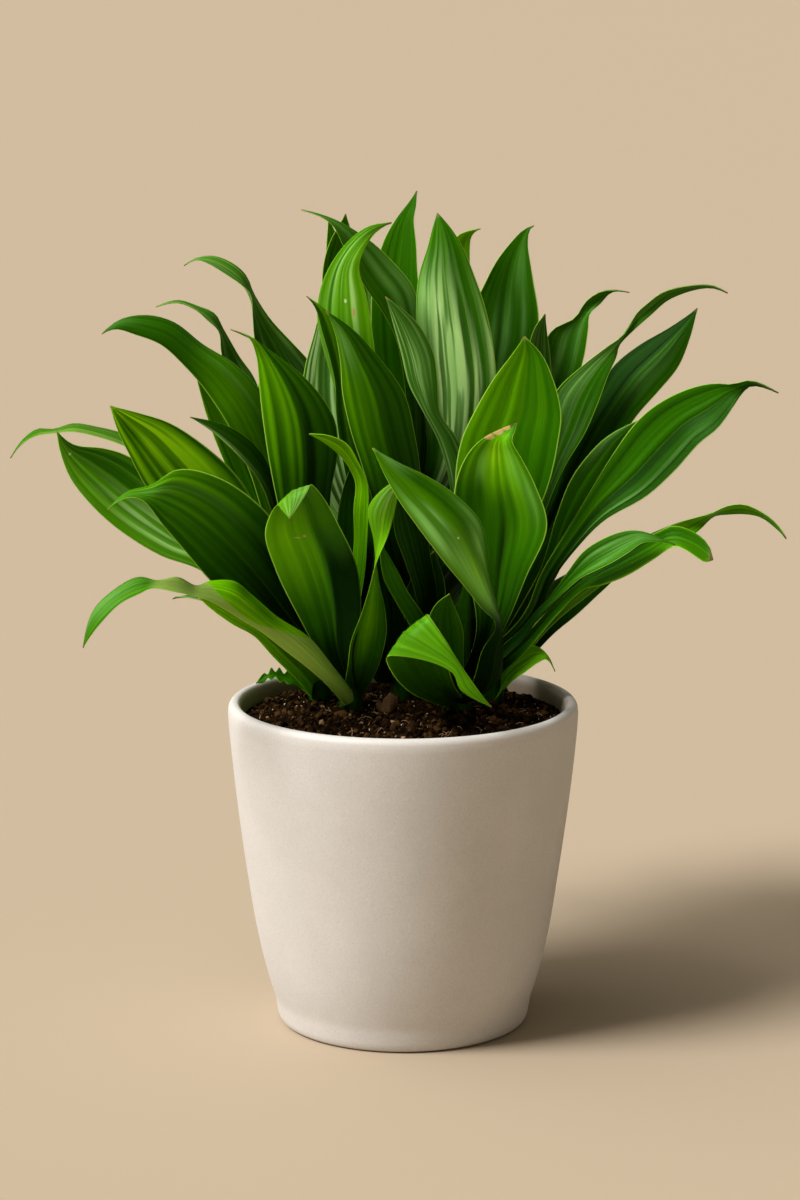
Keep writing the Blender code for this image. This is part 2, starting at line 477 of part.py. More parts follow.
def add_stem(shoot, into):
    """A stem as a bevelled curve with capped ends, thinner at its leaning top, that ends in a pointed bud."""
    top = STEMS[shoot][2]
    shares = [(height, 1 - height / top * (1 - STEM_TOP_RADIUS / STEM_RADIUS)) for height in (0, top * 0.5)]
    shares += [(top + over, STEM_TOP_RADIUS / STEM_RADIUS * part) for over, part in STEM_BUD]
    shares = [(-STEM_ROOT, 1)] + shares
    curve = bpy.data.curves.new(shoot, "CURVE")
    curve.dimensions = "3D"
    curve.bevel_depth = STEM_RADIUS * MM
    curve.bevel_resolution = 2
    curve.use_fill_caps = True
    line = curve.splines.new("POLY")
    line.points.add(len(shares) - 1)
    for point, (height, share) in zip(line.points, shares):
        point.co = (*stem_axis(shoot, height), 1)
        point.radius = share
    item = bpy.data.objects.new(shoot, curve)
    into.objects.link(item)
    item = bake(item)
    weld = item.modifiers.new("weld", "WELD")
    weld.merge_threshold = 0.00001
    return bake(item)


def drop_pockets(item):
    """Keep the outer shell only: folded leaf feet can close off a small pocket inside the union."""
    shape = bmesh.new()
    shape.from_mesh(item.data)
    left = set(shape.verts)
    shells = []
    while left:
        front = [left.pop()]
        shell = set(front)
        while front:
            for edge in front.pop().link_edges:
                fresh = [v for v in edge.verts if v in left]
                left.difference_update(fresh)
                shell.update(fresh)
                front.extend(fresh)
        shells.append(shell)
    shells.sort(key=len)
    inner = [v for shell in shells[:-1] for v in shell]
    bmesh.ops.delete(shape, geom=inner, context="VERTS")
    shape.to_mesh(item.data)
    shape.free()


def unite(item, others):
    """Join every object of a collection to the item in one Boolean union, then remove the collection."""
    join = item.modifiers.new("join", "BOOLEAN")
    join.operation = "UNION"
    join.operand_type = "COLLECTION"
    join.collection = others
    join.solver = "MANIFOLD"
    item = bake(item)
    for other in list(others.objects):
        bpy.data.objects.remove(other, do_unlink=True)
    bpy.data.collections.remove(others)
    return item


def add_shoot(shoot, into):
    leaves = collection(shoot + "_leaves")
    for name, (grows, fold, turned, stations) in LEAVES[shoot].items():
        pieces = BLADE_PIECES if len(stations) > 5 else SHORT_PIECES
        add_leaf(name, front_rows(shoot, grows, turned, stations), fold, pieces, leaves)
    for number, rule in enumerate(REAR_LEAVES.get(shoot, []), 1):
        add_leaf("rear_%d" % number, rear_rows(shoot, *rule), REAR_FOLD, REAR_PIECES, leaves)
    item = unite(add_stem(shoot, into), leaves)
    drop_pockets(item)
    item.name = shoot
    dress(item, flat=True)
    return item


def add_pot(into):
    item = screw("pot", POT_INSIDE + POT_OUTSIDE, POT_STEPS, into)
    dress(item)
    return item


def lumps(x, y):
    """A gentle lumpy height from sines of several sizes, in mm."""
    big = np.sin(0.071 * x + 0.9) * np.sin(0.083 * y + 2.1) + np.sin(0.11 * (x + y) + 0.4) * 0.6
    small = np.sin(0.23 * x - 0.17 * y) * 0.5 + np.sin(0.31 * y + 0.13 * x + 1.3) * 0.4
    return (big + small) * SOIL_LUMP / 2


def add_soil(into):
    wall = [(r - SOIL_GAP, z) for r, z in POT_INSIDE[1:] if 14 < z < SOIL_WALL_TOP]
    wall_top = (np.interp(SOIL_WALL_TOP, [217, 229], [115, 115.5]) - SOIL_GAP, SOIL_WALL_TOP)
    floor = [(70, 14 + SOIL_GAP), (0, 14 + SOIL_GAP)]
    item = screw("soil", SOIL_TOP + [wall_top] + wall[::-1] + floor, POT_STEPS, into)
    points = np.empty(len(item.data.vertices) * 3)
    item.data.vertices.foreach_get("co", points)
    points = points.reshape(-1, 3)
    radius = np.hypot(points[:, 0], points[:, 1]) / MM
    free = (points[:, 2] > SOIL_WALL_TOP * MM + 0.0005) * np.clip((106 - radius) / 20, 0, 1)
    points[:, 2] += free * lumps(points[:, 0] / MM, points[:, 1] / MM) * MM
    item.data.vertices.foreach_set("co", points.ravel())
    item.data.update()
    return item


def cut(item, cutter, operation):
    cutter.hide_render = True
    cutter.display_type = "WIRE"
    step = item.modifiers.new(operation.lower(), "BOOLEAN")
    step.operation = operation
    step.object = cutter
    step.solver = "EXACT"
    item = bake(item)
    bpy.data.objects.remove(cutter, do_unlink=True)
    return item


def add_planted_soil(into):
    """The soil with a chip of bark sunk in it and a plain hole for each stem."""
    item = add_soil(into)
    cutters = collection("cutters")
    bpy.ops.mesh.primitive_ico_sphere_add(subdivisions=1, radius=1)
    chip = bpy.context.object
    chip.name = "chip"
    chip.scale = [size * MM / 2 for size in CHIP_SIZE]
    chip.rotation_euler = (0.3, 0.5, 0.4)
    chip.location = (CHIP_AT[0] * MM, CHIP_AT[1] * MM, 0.2305)
    item = cut(item, chip, "UNION")
    for x, y, *_ in STEMS.values():
        bpy.ops.mesh.primitive_cylinder_add(vertices=24, radius=HOLE_RADIUS * MM, depth=0.06)
        hole = bpy.context.object
        hole.location = (x * MM, y * MM, (SOIL_LEVEL - STEM_ROOT - SOIL_GAP) * MM + 0.03)
        item = cut(item, hole, "DIFFERENCE")
    bpy.data.collections.remove(cutters)
    item.name = "soil"
    dress(item, flat=True)
    return item


def main():
    clear_scene()
    parts = collection("potted_dracaena")
    add_pot(parts)
    add_planted_soil(parts)
    for shoot in STEMS:
        add_shoot(shoot, parts)


main()
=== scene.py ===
"""Potted dracaena, dressed for rendering: fluted glossy leaves, crumbly dark soil and a matte grained pot."""

import itertools
import math

import bpy
import numpy as np
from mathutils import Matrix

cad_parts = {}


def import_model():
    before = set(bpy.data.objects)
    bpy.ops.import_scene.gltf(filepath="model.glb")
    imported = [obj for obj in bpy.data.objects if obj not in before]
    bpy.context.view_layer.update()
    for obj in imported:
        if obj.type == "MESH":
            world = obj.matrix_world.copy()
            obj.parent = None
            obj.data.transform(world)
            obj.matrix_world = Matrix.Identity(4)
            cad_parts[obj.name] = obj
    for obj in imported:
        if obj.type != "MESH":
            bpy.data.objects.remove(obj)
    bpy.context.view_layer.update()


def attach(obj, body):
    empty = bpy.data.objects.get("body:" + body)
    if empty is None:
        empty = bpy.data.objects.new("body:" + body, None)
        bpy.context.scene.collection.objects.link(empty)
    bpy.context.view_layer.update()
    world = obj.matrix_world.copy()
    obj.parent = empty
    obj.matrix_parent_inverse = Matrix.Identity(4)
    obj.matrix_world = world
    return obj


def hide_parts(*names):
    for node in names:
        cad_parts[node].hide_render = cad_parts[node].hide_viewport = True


MM = 0.001

# The pot's profile: radius and height in mm, from its floor's middle up the inside, then down the outside.
POT_PROFILE = [
    (0, 14), (70, 14), (78, 15.4), (83, 21), (89.3, 39), (96.3, 71), (101.4, 103), (110, 167), (115, 217),
    (115.5, 229), (116.2, 232.4), (118, 234.5), (120.3, 235), (122.7, 234.3), (124.4, 232.2), (125, 229),
    (124.8, 221), (124.1, 211), (123, 199), (119.6, 167), (115.6, 135), (111, 103), (106, 71), (99, 39),
    (95.6, 27), (92.6, 17), (91.2, 9), (90.2, 4.4), (88.8, 1.6), (86.8, 0.4), (84, 0), (0, 0)]
POT_AROUND = 192
POT_PARTS = 4

# The soil: its top and its side as radius and height in mm. Its lumps fade out over the last stretch before
# the radius where it is flat.
SOIL_TOP = [
    (0, 229), (14, 228.9), (28, 228.6), (44, 228), (60, 227), (76, 225.8), (92, 224.4), (104, 223.2),
    (114.6, 222)]
SOIL_SIDE = [(113.6, 205), (112, 190), (0, 190)]
SOIL_RADIUS = 114.4
SOIL_RINGS = 90
SOIL_AROUND = 256
SOIL_LOWEST_TOP = 221.5
SOIL_LUMP = 1.3
SOIL_FLAT_FROM = 112
SOIL_FADE = 12
SOIL_SEED = 11

# Loose pieces on the soil lie within these radii, in mm.
CRUMB_REACH = 111.5
CRUMB_LIMIT = 113.2
FIBRE_REACH = 100
FIBRE_COUNT = 70
FIBRE_ROWS = 7
FIBRE_LENGTHS = (5, 13)
FIBRE_TONE = 0.62
FIBRE_SEED = 5

# Loose lumps: how many, their sizes in mm, how far they are stretched, their tones and their random seed.
CRUMBS = {
    "soil_crumbs": (3200, (0.7, 3.4), (0.6, 1.3), (0.0, 0.34), 21),
    "bark_bits": (420, (0.5, 1.8), (0.3, 1.6), (0.38, 0.72), 22),
    "white_grains": (90, (0.4, 1.2), (0.7, 1.2), (0.85, 1.0), 23),
}

# Bits of bark that stand out of the soil: middle, half sizes along x, y and z in mm, and lean in radians.
CHIPS = [(-9.5, -16, 235.7, 4.6, 2.8, 8, -0.4), (-16, -15, 233.2, 2.5, 2.1, 4.4, 0.6)]
CHIP_AROUND = 28
CHIP_ROWS = 13
CHIP_TONE = 0.44

# The stems: foot x and y, height above the soil, and how far the top leans in x and y, in mm. Each ends in a
# pointed bud, given as heights over the top in mm and shares of the top radius.
STEMS = {
    "shoot_front_left": (-37, 2, 70, -6, -6),
    "shoot_front_right": (40, -2, 75, 4, -6),
    "shoot_middle": (0, 36, 150, 2, -4),
    "shoot_far_left": (-60, 34, 95, -14, 0),
    "shoot_far_right": (64, 32, 95, 14, 0),
    "shoot_back": (2, 84, 120, 0, 8),
}
SOIL_LEVEL = 229
STEM_ROOT = 16.8
STEM_RADIUS = 9
STEM_TOP_RADIUS = 6.5
STEM_BUD = [(0, 1), (12, 0.66), (24, 0.3), (32, 0.06)]
BUD_ROWS = 12
STEM_ROWS = 50
STEM_AROUND = 24
STEM_SCAR = 0.35
STEM_SCAR_STEP = 9
# The stems' low tone paints them dark green, as in deep shade.
STEM_LOOK = {"tone": 0.16, "seed": 3}

# The numbers that each point of a shoot keeps for its shader.
LEAF_NUMBERS = ("across", "walked", "flute", "tone", "pale", "sheen", "below", "dry", "seed")

# A leaf's mesh and relief: lengths in mm, angles in degrees, the rest as shares of its length or half width.
LEAF_ROWS = 60
LEAF_WIDE = 41
LEAF_INNER = 0.985
BLADE_HALF_THICK = 0.42
FOLD_AT_FOOT = 20
FLUTE = 0.013
EDGE_WAVE = 1.0
RIB_DEPTH = 0.3
RIB_WIDTH = 0.05
UNDERSIDE = 0.03
BLADE_FOOT = 14
TIP_HALF_WIDTH = 0.5
SHORTEST_CHORD = 4
CURVE_READS = 600

# Each shoot's leaves have their own run of this many random seeds, and its rear leaves start here in it.
SHOOT_SEEDS = 100
REAR_SEEDS = 50

# What a leaf's look says, in percent, where its own line says nothing else.
LOOK_DEFAULTS = {
    "pale": (0, 0), "tip_from": 45, "split": ((0, 0),), "streaks": (-100, 200), "under": (0, 0), "foot": 40,
    "dry": 0.6, "bands": 50, "shades": (), "glints": (), "sheens": ()}


def percent(values):
    """Numbers in percent as shares of one, however they are nested."""
    return tuple(percent(value) for value in values) if isinstance(values, tuple) else values / 100


def look(tone, rows=LEAF_ROWS, **others):
    """How a leaf looks, all in percent; the pairs are for its first and its second half.

    Tone goes from a near-black green that paints deep shade (0) over bright yellow-green (100) to a painted
    glow of light shining through (150). Besides the leaf's own green, the tones of the two halves and of the
    tip paint the light and shade that each part gets. Pale and under say how strongly the painted gloss
    streaks and the grey-green underside show. The tone turns to the tip's pair past the share tip_from of the
    length. The halves meet at split, given as shares of the length and places across. The painted gloss
    streaks and the underside show between the two shares streaks, foot darkens the foot with painted shade,
    dry is the share of the length that is dry at the tip and bands is how strongly the tone follows the
    flutes as painted light and shade. Shades paint light and shade onto the tone, glints add painted
    highlights to the gloss streaks and sheens lay an even painted sheen, each in soft ovals: share, place
    across, half length, half width and strength.
    """
    shares = {"tone": tone, "tip": tone, **LOOK_DEFAULTS, **others}
    return {"rows": rows, **{key: percent(value) for key, value in shares.items()}}


# Where the photograph was taken from and how high the pot's rim is, in metres.
EYE = np.array([-0.0022, -2.6, 0.831])
RIM_HEIGHT = 0.235

# The leaves. Each has the height on its stem that it grows from, its fold, how far it is turned about its own
# length from facing the front (to the right, and for a leaf that leans left, also up), both in degrees, its
# stations up to the tip, and its look.
# A station is its two edges as seen square on from the front: across and above the rim, in the plane y = 0,
# then the blade's depth in y and, where it twists, how much deeper the second edge lies. The last is the tip.
FRONT_LEFT_LEAVES = {
    "low_arch_left": (4, -16, 42, [(-58, 14, -48, 22, -38), (-84, 36, -68, 46, -62), (-101, 50, -90, 61, -76),
        (-114, 58, -107, 77, -86), (-127, 66, -120, 87, -93), (-139, 72, -137, 87, -98, 6),
        (-149, 75, -147, 83, -101, 12), (-160, 77, -160, 89, -103, 14), (-178, 80, -174, 86, -106, 16),
        (-188, 76, -188, 88.5, -109, 10), (-202, 69, -206, 79, -113, 8), (-217, 54, -221, 64, -117, 6),
        (-228, 38, -122)], look((66, 112), tip=(50, 50), tip_from=68, foot=0, under=(90, 0),
        streaks=(-100, 75.5), split=((30, 130), (33.3, 72), (38.3, 0), (45, -66), (49, -84), (54.5, -75),
        (58.5, -56), (60.8, -30), (62.8, 35), (63.8, 95), (65, 60), (69, 60), (72, 130)),
        shades=((67, 80, 3, 50, -80), (68, -30, 9, 100, -40), (20, 0, 15, 100, 30), (55, 55, 4.5, 40, -50),
        (46, 30, 6, 60, -45)), sheens=((88, 20, 8, 60, 25),), rows=150)),
    "folded_top": (10, 14, -17, [(-60, 32, -35, 30, -34), (-75, 62, -30, 66, -48), (-90, 94, -33, 100, -58),
        (-98, 120, -45, 126, -66), (-93, 136, -57, 147, -72), (-88, 141, -65, 156, -78),
        (-87, 139, -66, 153, -81), (-80, 131, -88)], look((98, 16), tip=(75, 65), tip_from=68,
        split=((0, 15),), foot=110, pale=(35, 35), streaks=(93, 200), bands=30, shades=((74, -60, 12, 30, 12),
        (74, 60, 10, 50, 30)))),
    "front_twist": (6, 10, 0, [(-39.5, 25, -17, 26, -34), (-37, 44, -12, 48, -44, 2),
        (-30, 62, -13, 66, -52, 6), (-23, 82, -16, 84, -60, 12), (-18, 100, -18.5, 101, -66, 14),
        (-11, 118, -21, 117, -70, 8), (-6.5, 134, -25, 137, -74, 2), (-3, 149, -16, 151, -78), (4, 164, -84)],
        look((55, 40), tip=(98, 84), foot=20, shades=((42, -10, 18, 70, 65),), glints=((93, 0, 8, 60, 50),))),
    "broad_left": (18, 12, 30, [(-84, 38, -56, 64, -22), (-110, 62, -76, 104, -38), (-136, 86, -99, 138, -54),
        (-156, 109, -130, 161, -64), (-171, 127, -159, 167, -72, 4), (-184, 144, -178, 156, -78, 14),
        (-197, 146, -195, 151, -83, 10), (-209, 138, -87)], look((54, 60), foot=75, bands=90,
        shades=((82, 80, 10, 30, 15), (72, -5, 15, 8, 20)), sheens=((87, 30, 6, 30, 12),
        (70, 50, 12, 10, 8)))),
    "tall_left": (36, -12, 20, [(-79, 100, -50, 104, -16), (-89, 142, -51, 146, -22),
        (-95, 174, -46, 178, -28), (-99, 205, -49, 204, -32), (-101, 228, -65, 228, -36),
        (-103, 248, -87, 247, -40), (-108, 260, -102, 257, -43, 4), (-121, 266, -46)], look((86, 50),
        split=((0, -10),), foot=70, dry=3, bands=140, shades=((60, -62, 20, 10, -25),
        (62, 12, 15, 12, -25)))),
    "shaded_inner": (26, 12, -20, [(-46, 84, -22, 88, -16), (-48, 118, -20, 122, -22),
        (-44, 148, -24, 152, -27), (-36, 171, -32)], look((14, 10))),
    "thin_hook": (46, 10, -20, [(-36, 108, -26, 108, -26, -8), (-35, 138, -24, 140, -42, -10),
        (-33, 157, -26, 158, -50, -12), (-38, 169, -32, 171, -55, -12), (-46, 178, -40, 185, -59, -10),
        (-55, 185, -52, 191, -62, -6), (-66, 192, -65)], look((110, 88), foot=50,
        shades=((87, 90, 10, 60, 20),))),
}
FRONT_RIGHT_LEAVES = {
    "front_sweep": (6, -14, 34, [(50, 14, 69, 16, -42), (56, 36, 71, 34, -58, 6), (65, 55, 69, 56, -74, 12),
        (55, 67, 66, 74, -84, 8), (44, 82, 63, 92, -92, 4), (32, 97, 60, 113, -99), (20, 113, 54, 131, -104),
        (8, 129, 36, 149, -108), (-3, 144, 16, 162, -111), (-12, 160, 0, 170, -114), (-21.5, 182, -118)],
        look((72, 64), foot=85, bands=45, shades=((30, 0, 12, 150, -60), (54, -20, 11, 60, 65),
        (85, 50, 10, 30, -20), (60, 10, 8, 12, -15)), sheens=((78, -72, 8, 14, 80), (70, -76, 6, 12, 90),
        (76, -28, 5, 9, 60), (62, -42, 8, 32, 45), (51, -25, 7, 50, 45), (64, 45, 5, 20, 60),
        (70, 75, 6, 15, 50), (96, 50, 5, 50, 50)))),
    "front_curl": (2, 10, 0, [(8, 4, 36, 12, -52), (-7, 18, 28, 38, -78), (-10, 31, 18, 62, -92),
        (14, 29, 30, 44, -104), (35, 20, 40, 28, -109, 4), (42, 6, 51, 11, -111), (63, -5, -108)],
        look((40, 46), tip=(75, 75), tip_from=42, foot=10)),
    "small_upright": (8, 14, 20, [(26, 22, 43, 24, -32), (17, 52, 43, 50, -44), (24, 70, 37, 67, -50),
        (33, 77, -54)], look((55, 50), foot=40)),
    "thin_slant": (5, 12, -20, [(20, 30, 30, 36, -34, 4), (6, 52, 16, 60, -42, 8), (-6, 73, 3, 79, -48, 8),
        (-14, 90, -6, 98, -52, 6), (-17, 116, -56)], look((50, 40))),
    "bright_broad": (14, 14, -24, [(52, 50, 72, 52, -44), (46, 90, 88, 90, -58), (38, 125, 102, 125, -68),
        (37, 155, 94, 153, -74), (45, 177, 84, 174, -79), (56, 189, 77, 187, -82), (67, 195, 79, 194, -80),
        (80, 200, -74)], look((64, 70), foot=75, bands=60, shades=((86, 30, 11, 50, 35),
        (86, -30, 10, 40, 40), (100, 0, 6, 200, -35), (75, -46, 5, 10, -25), (60, -8, 15, 15, -40),
        (66, -85, 14, 30, -40), (72, 15, 10, 8, -20)), sheens=((83, -44, 5, 12, 25), (84, 50, 6, 20, 20),
        (74, 75, 7, 14, 20)))),
    "bright_tall": (40, 14, -22, [(44, 110, 84, 112, -24), (37, 155, 103, 155, -36), (41, 188, 110, 190, -42),
        (51, 210, 111, 208, -45), (64, 232, 105, 232, -48), (76, 248, 97, 249, -50), (85, 261, -52)],
        look((82, 50), foot=65, bands=60)),
    "long_right": (22, 12, -32, [(84, 60, 94, 58, -26, 6), (98, 92, 108, 89, -34, 6),
        (114, 120, 124, 111, -40, 4), (130, 148, 143, 130, -45, 4), (148, 178, 172, 147, -50),
        (166, 202, 192, 166, -54), (184, 216, 208, 185, -58), (204, 225, 222, 197, -62),
        (220, 228, 232, 211, -65), (231, 227.5, 238, 220, -68, 6), (244, 230, 245, 226, -71, 10),
        (264, 221, -76)], look((60, 34), foot=50, bands=60, tip=(32, 20), shades=((55, -40, 25, 40, 12),
        (70, 10, 20, 12, -15)), sheens=((52, 62, 12, 4.5, 40), (74, 60, 7, 5, 15)))),
    "torn_right": (8, 14, -42, [(84, 44, 90, 38, -46, 4), (104, 66, 109, 61, -58, 4),
        (122, 83, 128, 80, -67, 4), (136, 96, 142, 84, -73), (154, 107, 160, 91, -79),
        (170, 116, 177, 101, -85), (182, 122, 193, 111, -91), (191, 126, 201, 108, -95),
        (206, 122, 209, 103, -99), (217, 112, 215, 100, -103), (220, 102, -105)], look((42, 52), tip=(46, 58),
        tip_from=60, foot=50, dry=1.4, bands=60, shades=((71, -65, 10, 25, -30), (70, 95, 25, 10, 60)))),
    "gloss_right": (16, 12, -44, [(82, 50, 87, 46, -58), (93, 64, 96, 60, -66), (106, 78, 111, 75, -74),
        (117, 93, 126, 88, -80), (129, 108, 140, 95, -86), (143, 117, 151, 101, -91),
        (156, 122, 161, 108, -95), (166, 123, 169, 114, -98), (176, 120.5, 177, 115, -101),
        (193, 112.5, -105)], look((34, 40), foot=80, bands=90, sheens=((85, 0, 10, 70, 15),
        (72, 50, 8, 20, 20), (75, -50, 6, 12, 20)))),
}
MIDDLE_LEAVES = {
    "centre_fold": (52, -16, 22, [(-14, 112, 14, 116, -6), (-26, 160, 13, 160, -18), (-37, 195, 8, 192, -26),
        (-43, 222, 0, 222, -32), (-44.5, 243, -19, 249, -37), (-48, 264, -36, 267, -41), (-54, 279, -45)],
        look((60, 42), foot=60, bands=100, shades=((62, -60, 20, 35, 20),), sheens=((90, -50, 7, 30, 35),))),
    "centre_strip": (64, -10, 10, [(-30, 122, -18, 124, 6), (-41, 165, -26, 166, -4),
        (-47, 205, -35, 206, -12), (-48, 228, -38, 229, -17), (-52, 247, -41, 250, -22),
        (-57, 265, -46, 268, -26), (-61, 280, -53, 279, -29), (-67.5, 289.5, -32)], look((30, 85),
        split=((0, -20),), foot=30)),
    "pale_inner": (78, 12, -20, [(-52, 145, -26, 150, 26), (-66, 185, -33, 188, 20), (-71, 216, -36, 216, 16),
        (-69, 240, -39, 240, 13), (-63, 262, -44, 262, 10), (-56, 286, 8)], look((50, 50), pale=(80, 70))),
    "top_curl": (92, -14, -30, [(-26, 160, 0, 164, 14), (-42, 205, -10, 208, 4), (-54, 243, -18, 243, -4),
        (-60, 272, -22, 268, -10), (-58, 293, -26, 289, -14), (-50, 312, -31, 307, -18),
        (-38, 328, -29, 318, -21), (-24, 338.5, -20, 333, -24, 4), (-8, 341, -27)], look((66, 86),
        pale=(4, 2), split=((0, 50),), foot=10, bands=110, shades=((76, 30, 12, 40, 20),),
        glints=((83, -35, 8, 14, 50), (75, 55, 10, 12, 60), (70, 15, 15, 8, 30)))),
    "long_dark": (108, 14, 28, [(2, 170, 26, 176, 22), (3, 205, 26, 210, 16), (-1, 240, 19, 246, 12, 2),
        (-7, 263, 12, 272, 9, 4), (-16, 280, 7, 295, 6, 4), (-28, 298, -8, 314, 4, 4),
        (-40, 322, -25, 330, 2, 4), (-50, 340.5, -46, 343, 0, 6), (-71, 350, -2)], look((58, 50), foot=35,
        sheens=((72, 20, 15, 20, 35), (68, 80, 14, 20, 30), (90, 0, 6, 50, 15)))),
    "top_back_left": (122, 12, 20, [(-30, 190, -6, 196, 34), (-52, 245, -20, 250, 30),
        (-57, 295, -26, 298, 28), (-53, 322, -32, 322, 28), (-40, 347, 28)], look((64, 56))),
    "centre_slant": (58, -14, -16, [(27, 110, 44, 114, -6), (33, 150, 50, 156, -14),
        (25, 186, 39, 188, -20, 2), (13, 210, 26, 208, -24, 4), (4, 228, 24, 232, -27),
        (-1, 248, 21, 250, -30), (-6, 266, 11, 269, -33), (-10, 281, 0, 280, -36), (-12, 289, -38)],
        look((50, 44), pale=(40, 20), streaks=(50, 200), sheens=((80, 10, 12, 40, 20),
        (60, -50, 10, 20, 15)))),
    "shaded_centre": (18, 12, 20, [(10, 66, 24, 70, -10), (2, 98, 20, 102, -24), (-6, 124, 15, 128, -34),
        (-4, 152, -42)], look((20, 12))),
    "pale_broad": (112, -10, -14, [(16, 170, 54, 174, 16), (14, 215, 65, 215, 10), (10, 255, 64, 252, 8),
        (9, 285, 57, 283, 8), (11, 305, 50, 303, 10), (17, 324, 41, 325, 12), (21, 339, 32, 339, 15),
        (24, 347.5, 18)], look((52, 44), pale=(25, 6), streaks=(40, 84), foot=0, bands=100,
        shades=((20, 0, 14, 150, -50),), glints=((52, -2, 20, 30, 240), (74, -66, 8, 12, 90),
        (50, 55, 13, 8, 160), (60, 93, 14, 6, 70), (62, -36, 18, 10, 120)), sheens=((55, -3, 16, 16, 50),
        (72, -70, 10, 30, 30)))),
    "top_centre": (136, 12, -25, [(-18, 215, 18, 218, 44), (-22, 262, 16, 262, 44), (-21, 300, 11, 300, 46),
        (-14, 328, 9.5, 326, 49), (-5, 344, 7.5, 343, 52), (3, 354, 9, 353, 54), (9.5, 363, 57)],
        look((46, 40), foot=10, bands=60)),
    "low_middle_left": (10, 12, -16, [(-20, 14, 0, 14, 24), (-25, 36, 2, 36, 12), (-30, 62, 4, 62, 2),
        (-28, 88, -2, 90, -6), (-20, 114, -12)], look((25, 15), foot=25)),
    "low_middle_right": (22, 12, 20, [(2, 44, 26, 46, 12), (0, 72, 30, 74, 0), (8, 92, 28, 92, -6),
        (22, 108, -10)], look((20, 25), foot=25)),
    "top_small": (128, 14, 25, [(24, 215, 56, 218, 38), (26, 255, 54, 256, 36), (27, 290, 49, 292, 36),
        (30, 315, 46.5, 315, 37), (38, 332, 47.5, 331, 39), (54, 336.5, 41)], look((110, 100), foot=10)),
}
FAR_LEFT_LEAVES = {
    "far_left_arch": (52, 8, 42, [(-104, 108, -94, 122, 34, 14), (-134, 142, -124, 154, 38, 16),
        (-165, 164, -158, 176, 40, 16), (-197, 184, -200, 194, 42, 18), (-216, 191, -215, 198, 42, 18),
        (-232, 194.5, -232, 200.5, 41, 16), (-245, 193.5, -246, 196, 40, 14),
        (-259, 191, -258, 195.5, 38, 10), (-270, 184, -269, 187, 36, 6), (-277, 175, 34)], look((62, 55),
        under=(30, 10), streaks=(-100, 90))),
    "outer_left": (16, 12, 32, [(-108, 62, -90, 84, 12), (-143, 94, -128, 118, 2), (-172, 105, -150, 140, -6),
        (-200, 122, -172, 160, -12), (-220, 140, -194, 176, -17), (-235, 160, -212, 182, -21),
        (-242, 180, -232, 184.5, -24), (-244, 194, -26)], look((95, 60), pale=(10, 5), foot=10, bands=80,
        glints=((60, -30, 14, 40, 130),))),
    "bright_left": (32, 14, 30, [(-104, 72, -82, 96, 4), (-134, 96, -99, 130, -10),
        (-160, 122, -116, 160, -20), (-182, 154, -140, 184, -28), (-194, 178, -164, 200, -34),
        (-202, 197, -186, 207, -39), (-206, 212, -43)], look((125, 120), foot=30, bands=200,
        shades=((72, 45, 12, 25, 60), (92, -30, 6, 40, -40), (72, 12, 12, 7, -50), (84, -60, 12, 40, -20),
        (75, 95, 20, 12, -50), (60, -20, 12, 10, -50)))),
    "arch_left": (62, -12, 32, [(-98, 130, -74, 140, 14), (-110, 168, -84, 184, 8), (-124, 200, -98, 219, 2),
        (-140, 225, -118, 242, -3), (-153, 240, -140, 256, -7, 4), (-170, 255, -160, 271, -11, 4),
        (-188, 262, -180, 276, -15, 2), (-201, 266, -198, 273, -19, 4), (-211, 263, -22)], look((80, 70),
        tip=(36, 34), tip_from=60, foot=5, sheens=((62, 30, 10, 20, 15), (95, 0, 5, 40, 8)))),
    "under_arch_left": (50, 12, 22, [(-102, 118, -82, 126, 20), (-121, 160, -94, 170, 16),
        (-133, 190, -106, 204, 12), (-141, 215, -124, 224, 10), (-147, 240, 9)], look((95, 85), foot=20,
        bands=70)),
    "small_dark_curl": (42, -14, 28, [(-90, 126, -82, 134, -2), (-100, 156, -91, 163, -16),
        (-112, 172, -103, 182, -24), (-124, 184, -118, 194.5, -30), (-138, 196, -134, 201, -35),
        (-150, 204, -39)], look((32, 26), pale=(5, 0), glints=((85, -90, 12, 20, 100),))),
    "low_dark_left": (2, 12, 30, [(-76, 14, -62, 24, 10), (-92, 31, -80, 42, -4), (-106, 46, -98, 56, -16),
        (-122, 55, -116, 68, -28), (-135, 65, -132, 74, -38), (-145, 74, -46)], look((140, 110), foot=20)),
    "crinkled_low": (1, 10, 28, [(-77, 11, -76, 18, 28), (-82, 11, -82, 22, 27), (-85, 14, -85, 19, 27),
        (-88, 12, -88, 24, 26), (-91, 16.5, -91, 20.5, 26), (-94, 14, -94, 24, 25),
        (-96.5, 16, -96.5, 18.5, 25), (-99, 13, -99, 19.5, 25), (-105, 12, 24)], look((50, 44), foot=10)),
    "thin_twist_left": (82, 12, 20, [(-110, 185, -94, 194, 34), (-123, 226, -104, 231, 33),
        (-127, 250, -116, 248, 33, 6), (-128.5, 265, -126.5, 266, 33, 12), (-137, 273, -132, 277, 33, 10),
        (-146, 280.5, -143, 282.5, 33, 10), (-158, 285, -157, 287, 33, 8), (-173, 282, 33)], look((60, 54),
        pale=(25, 20))),
}
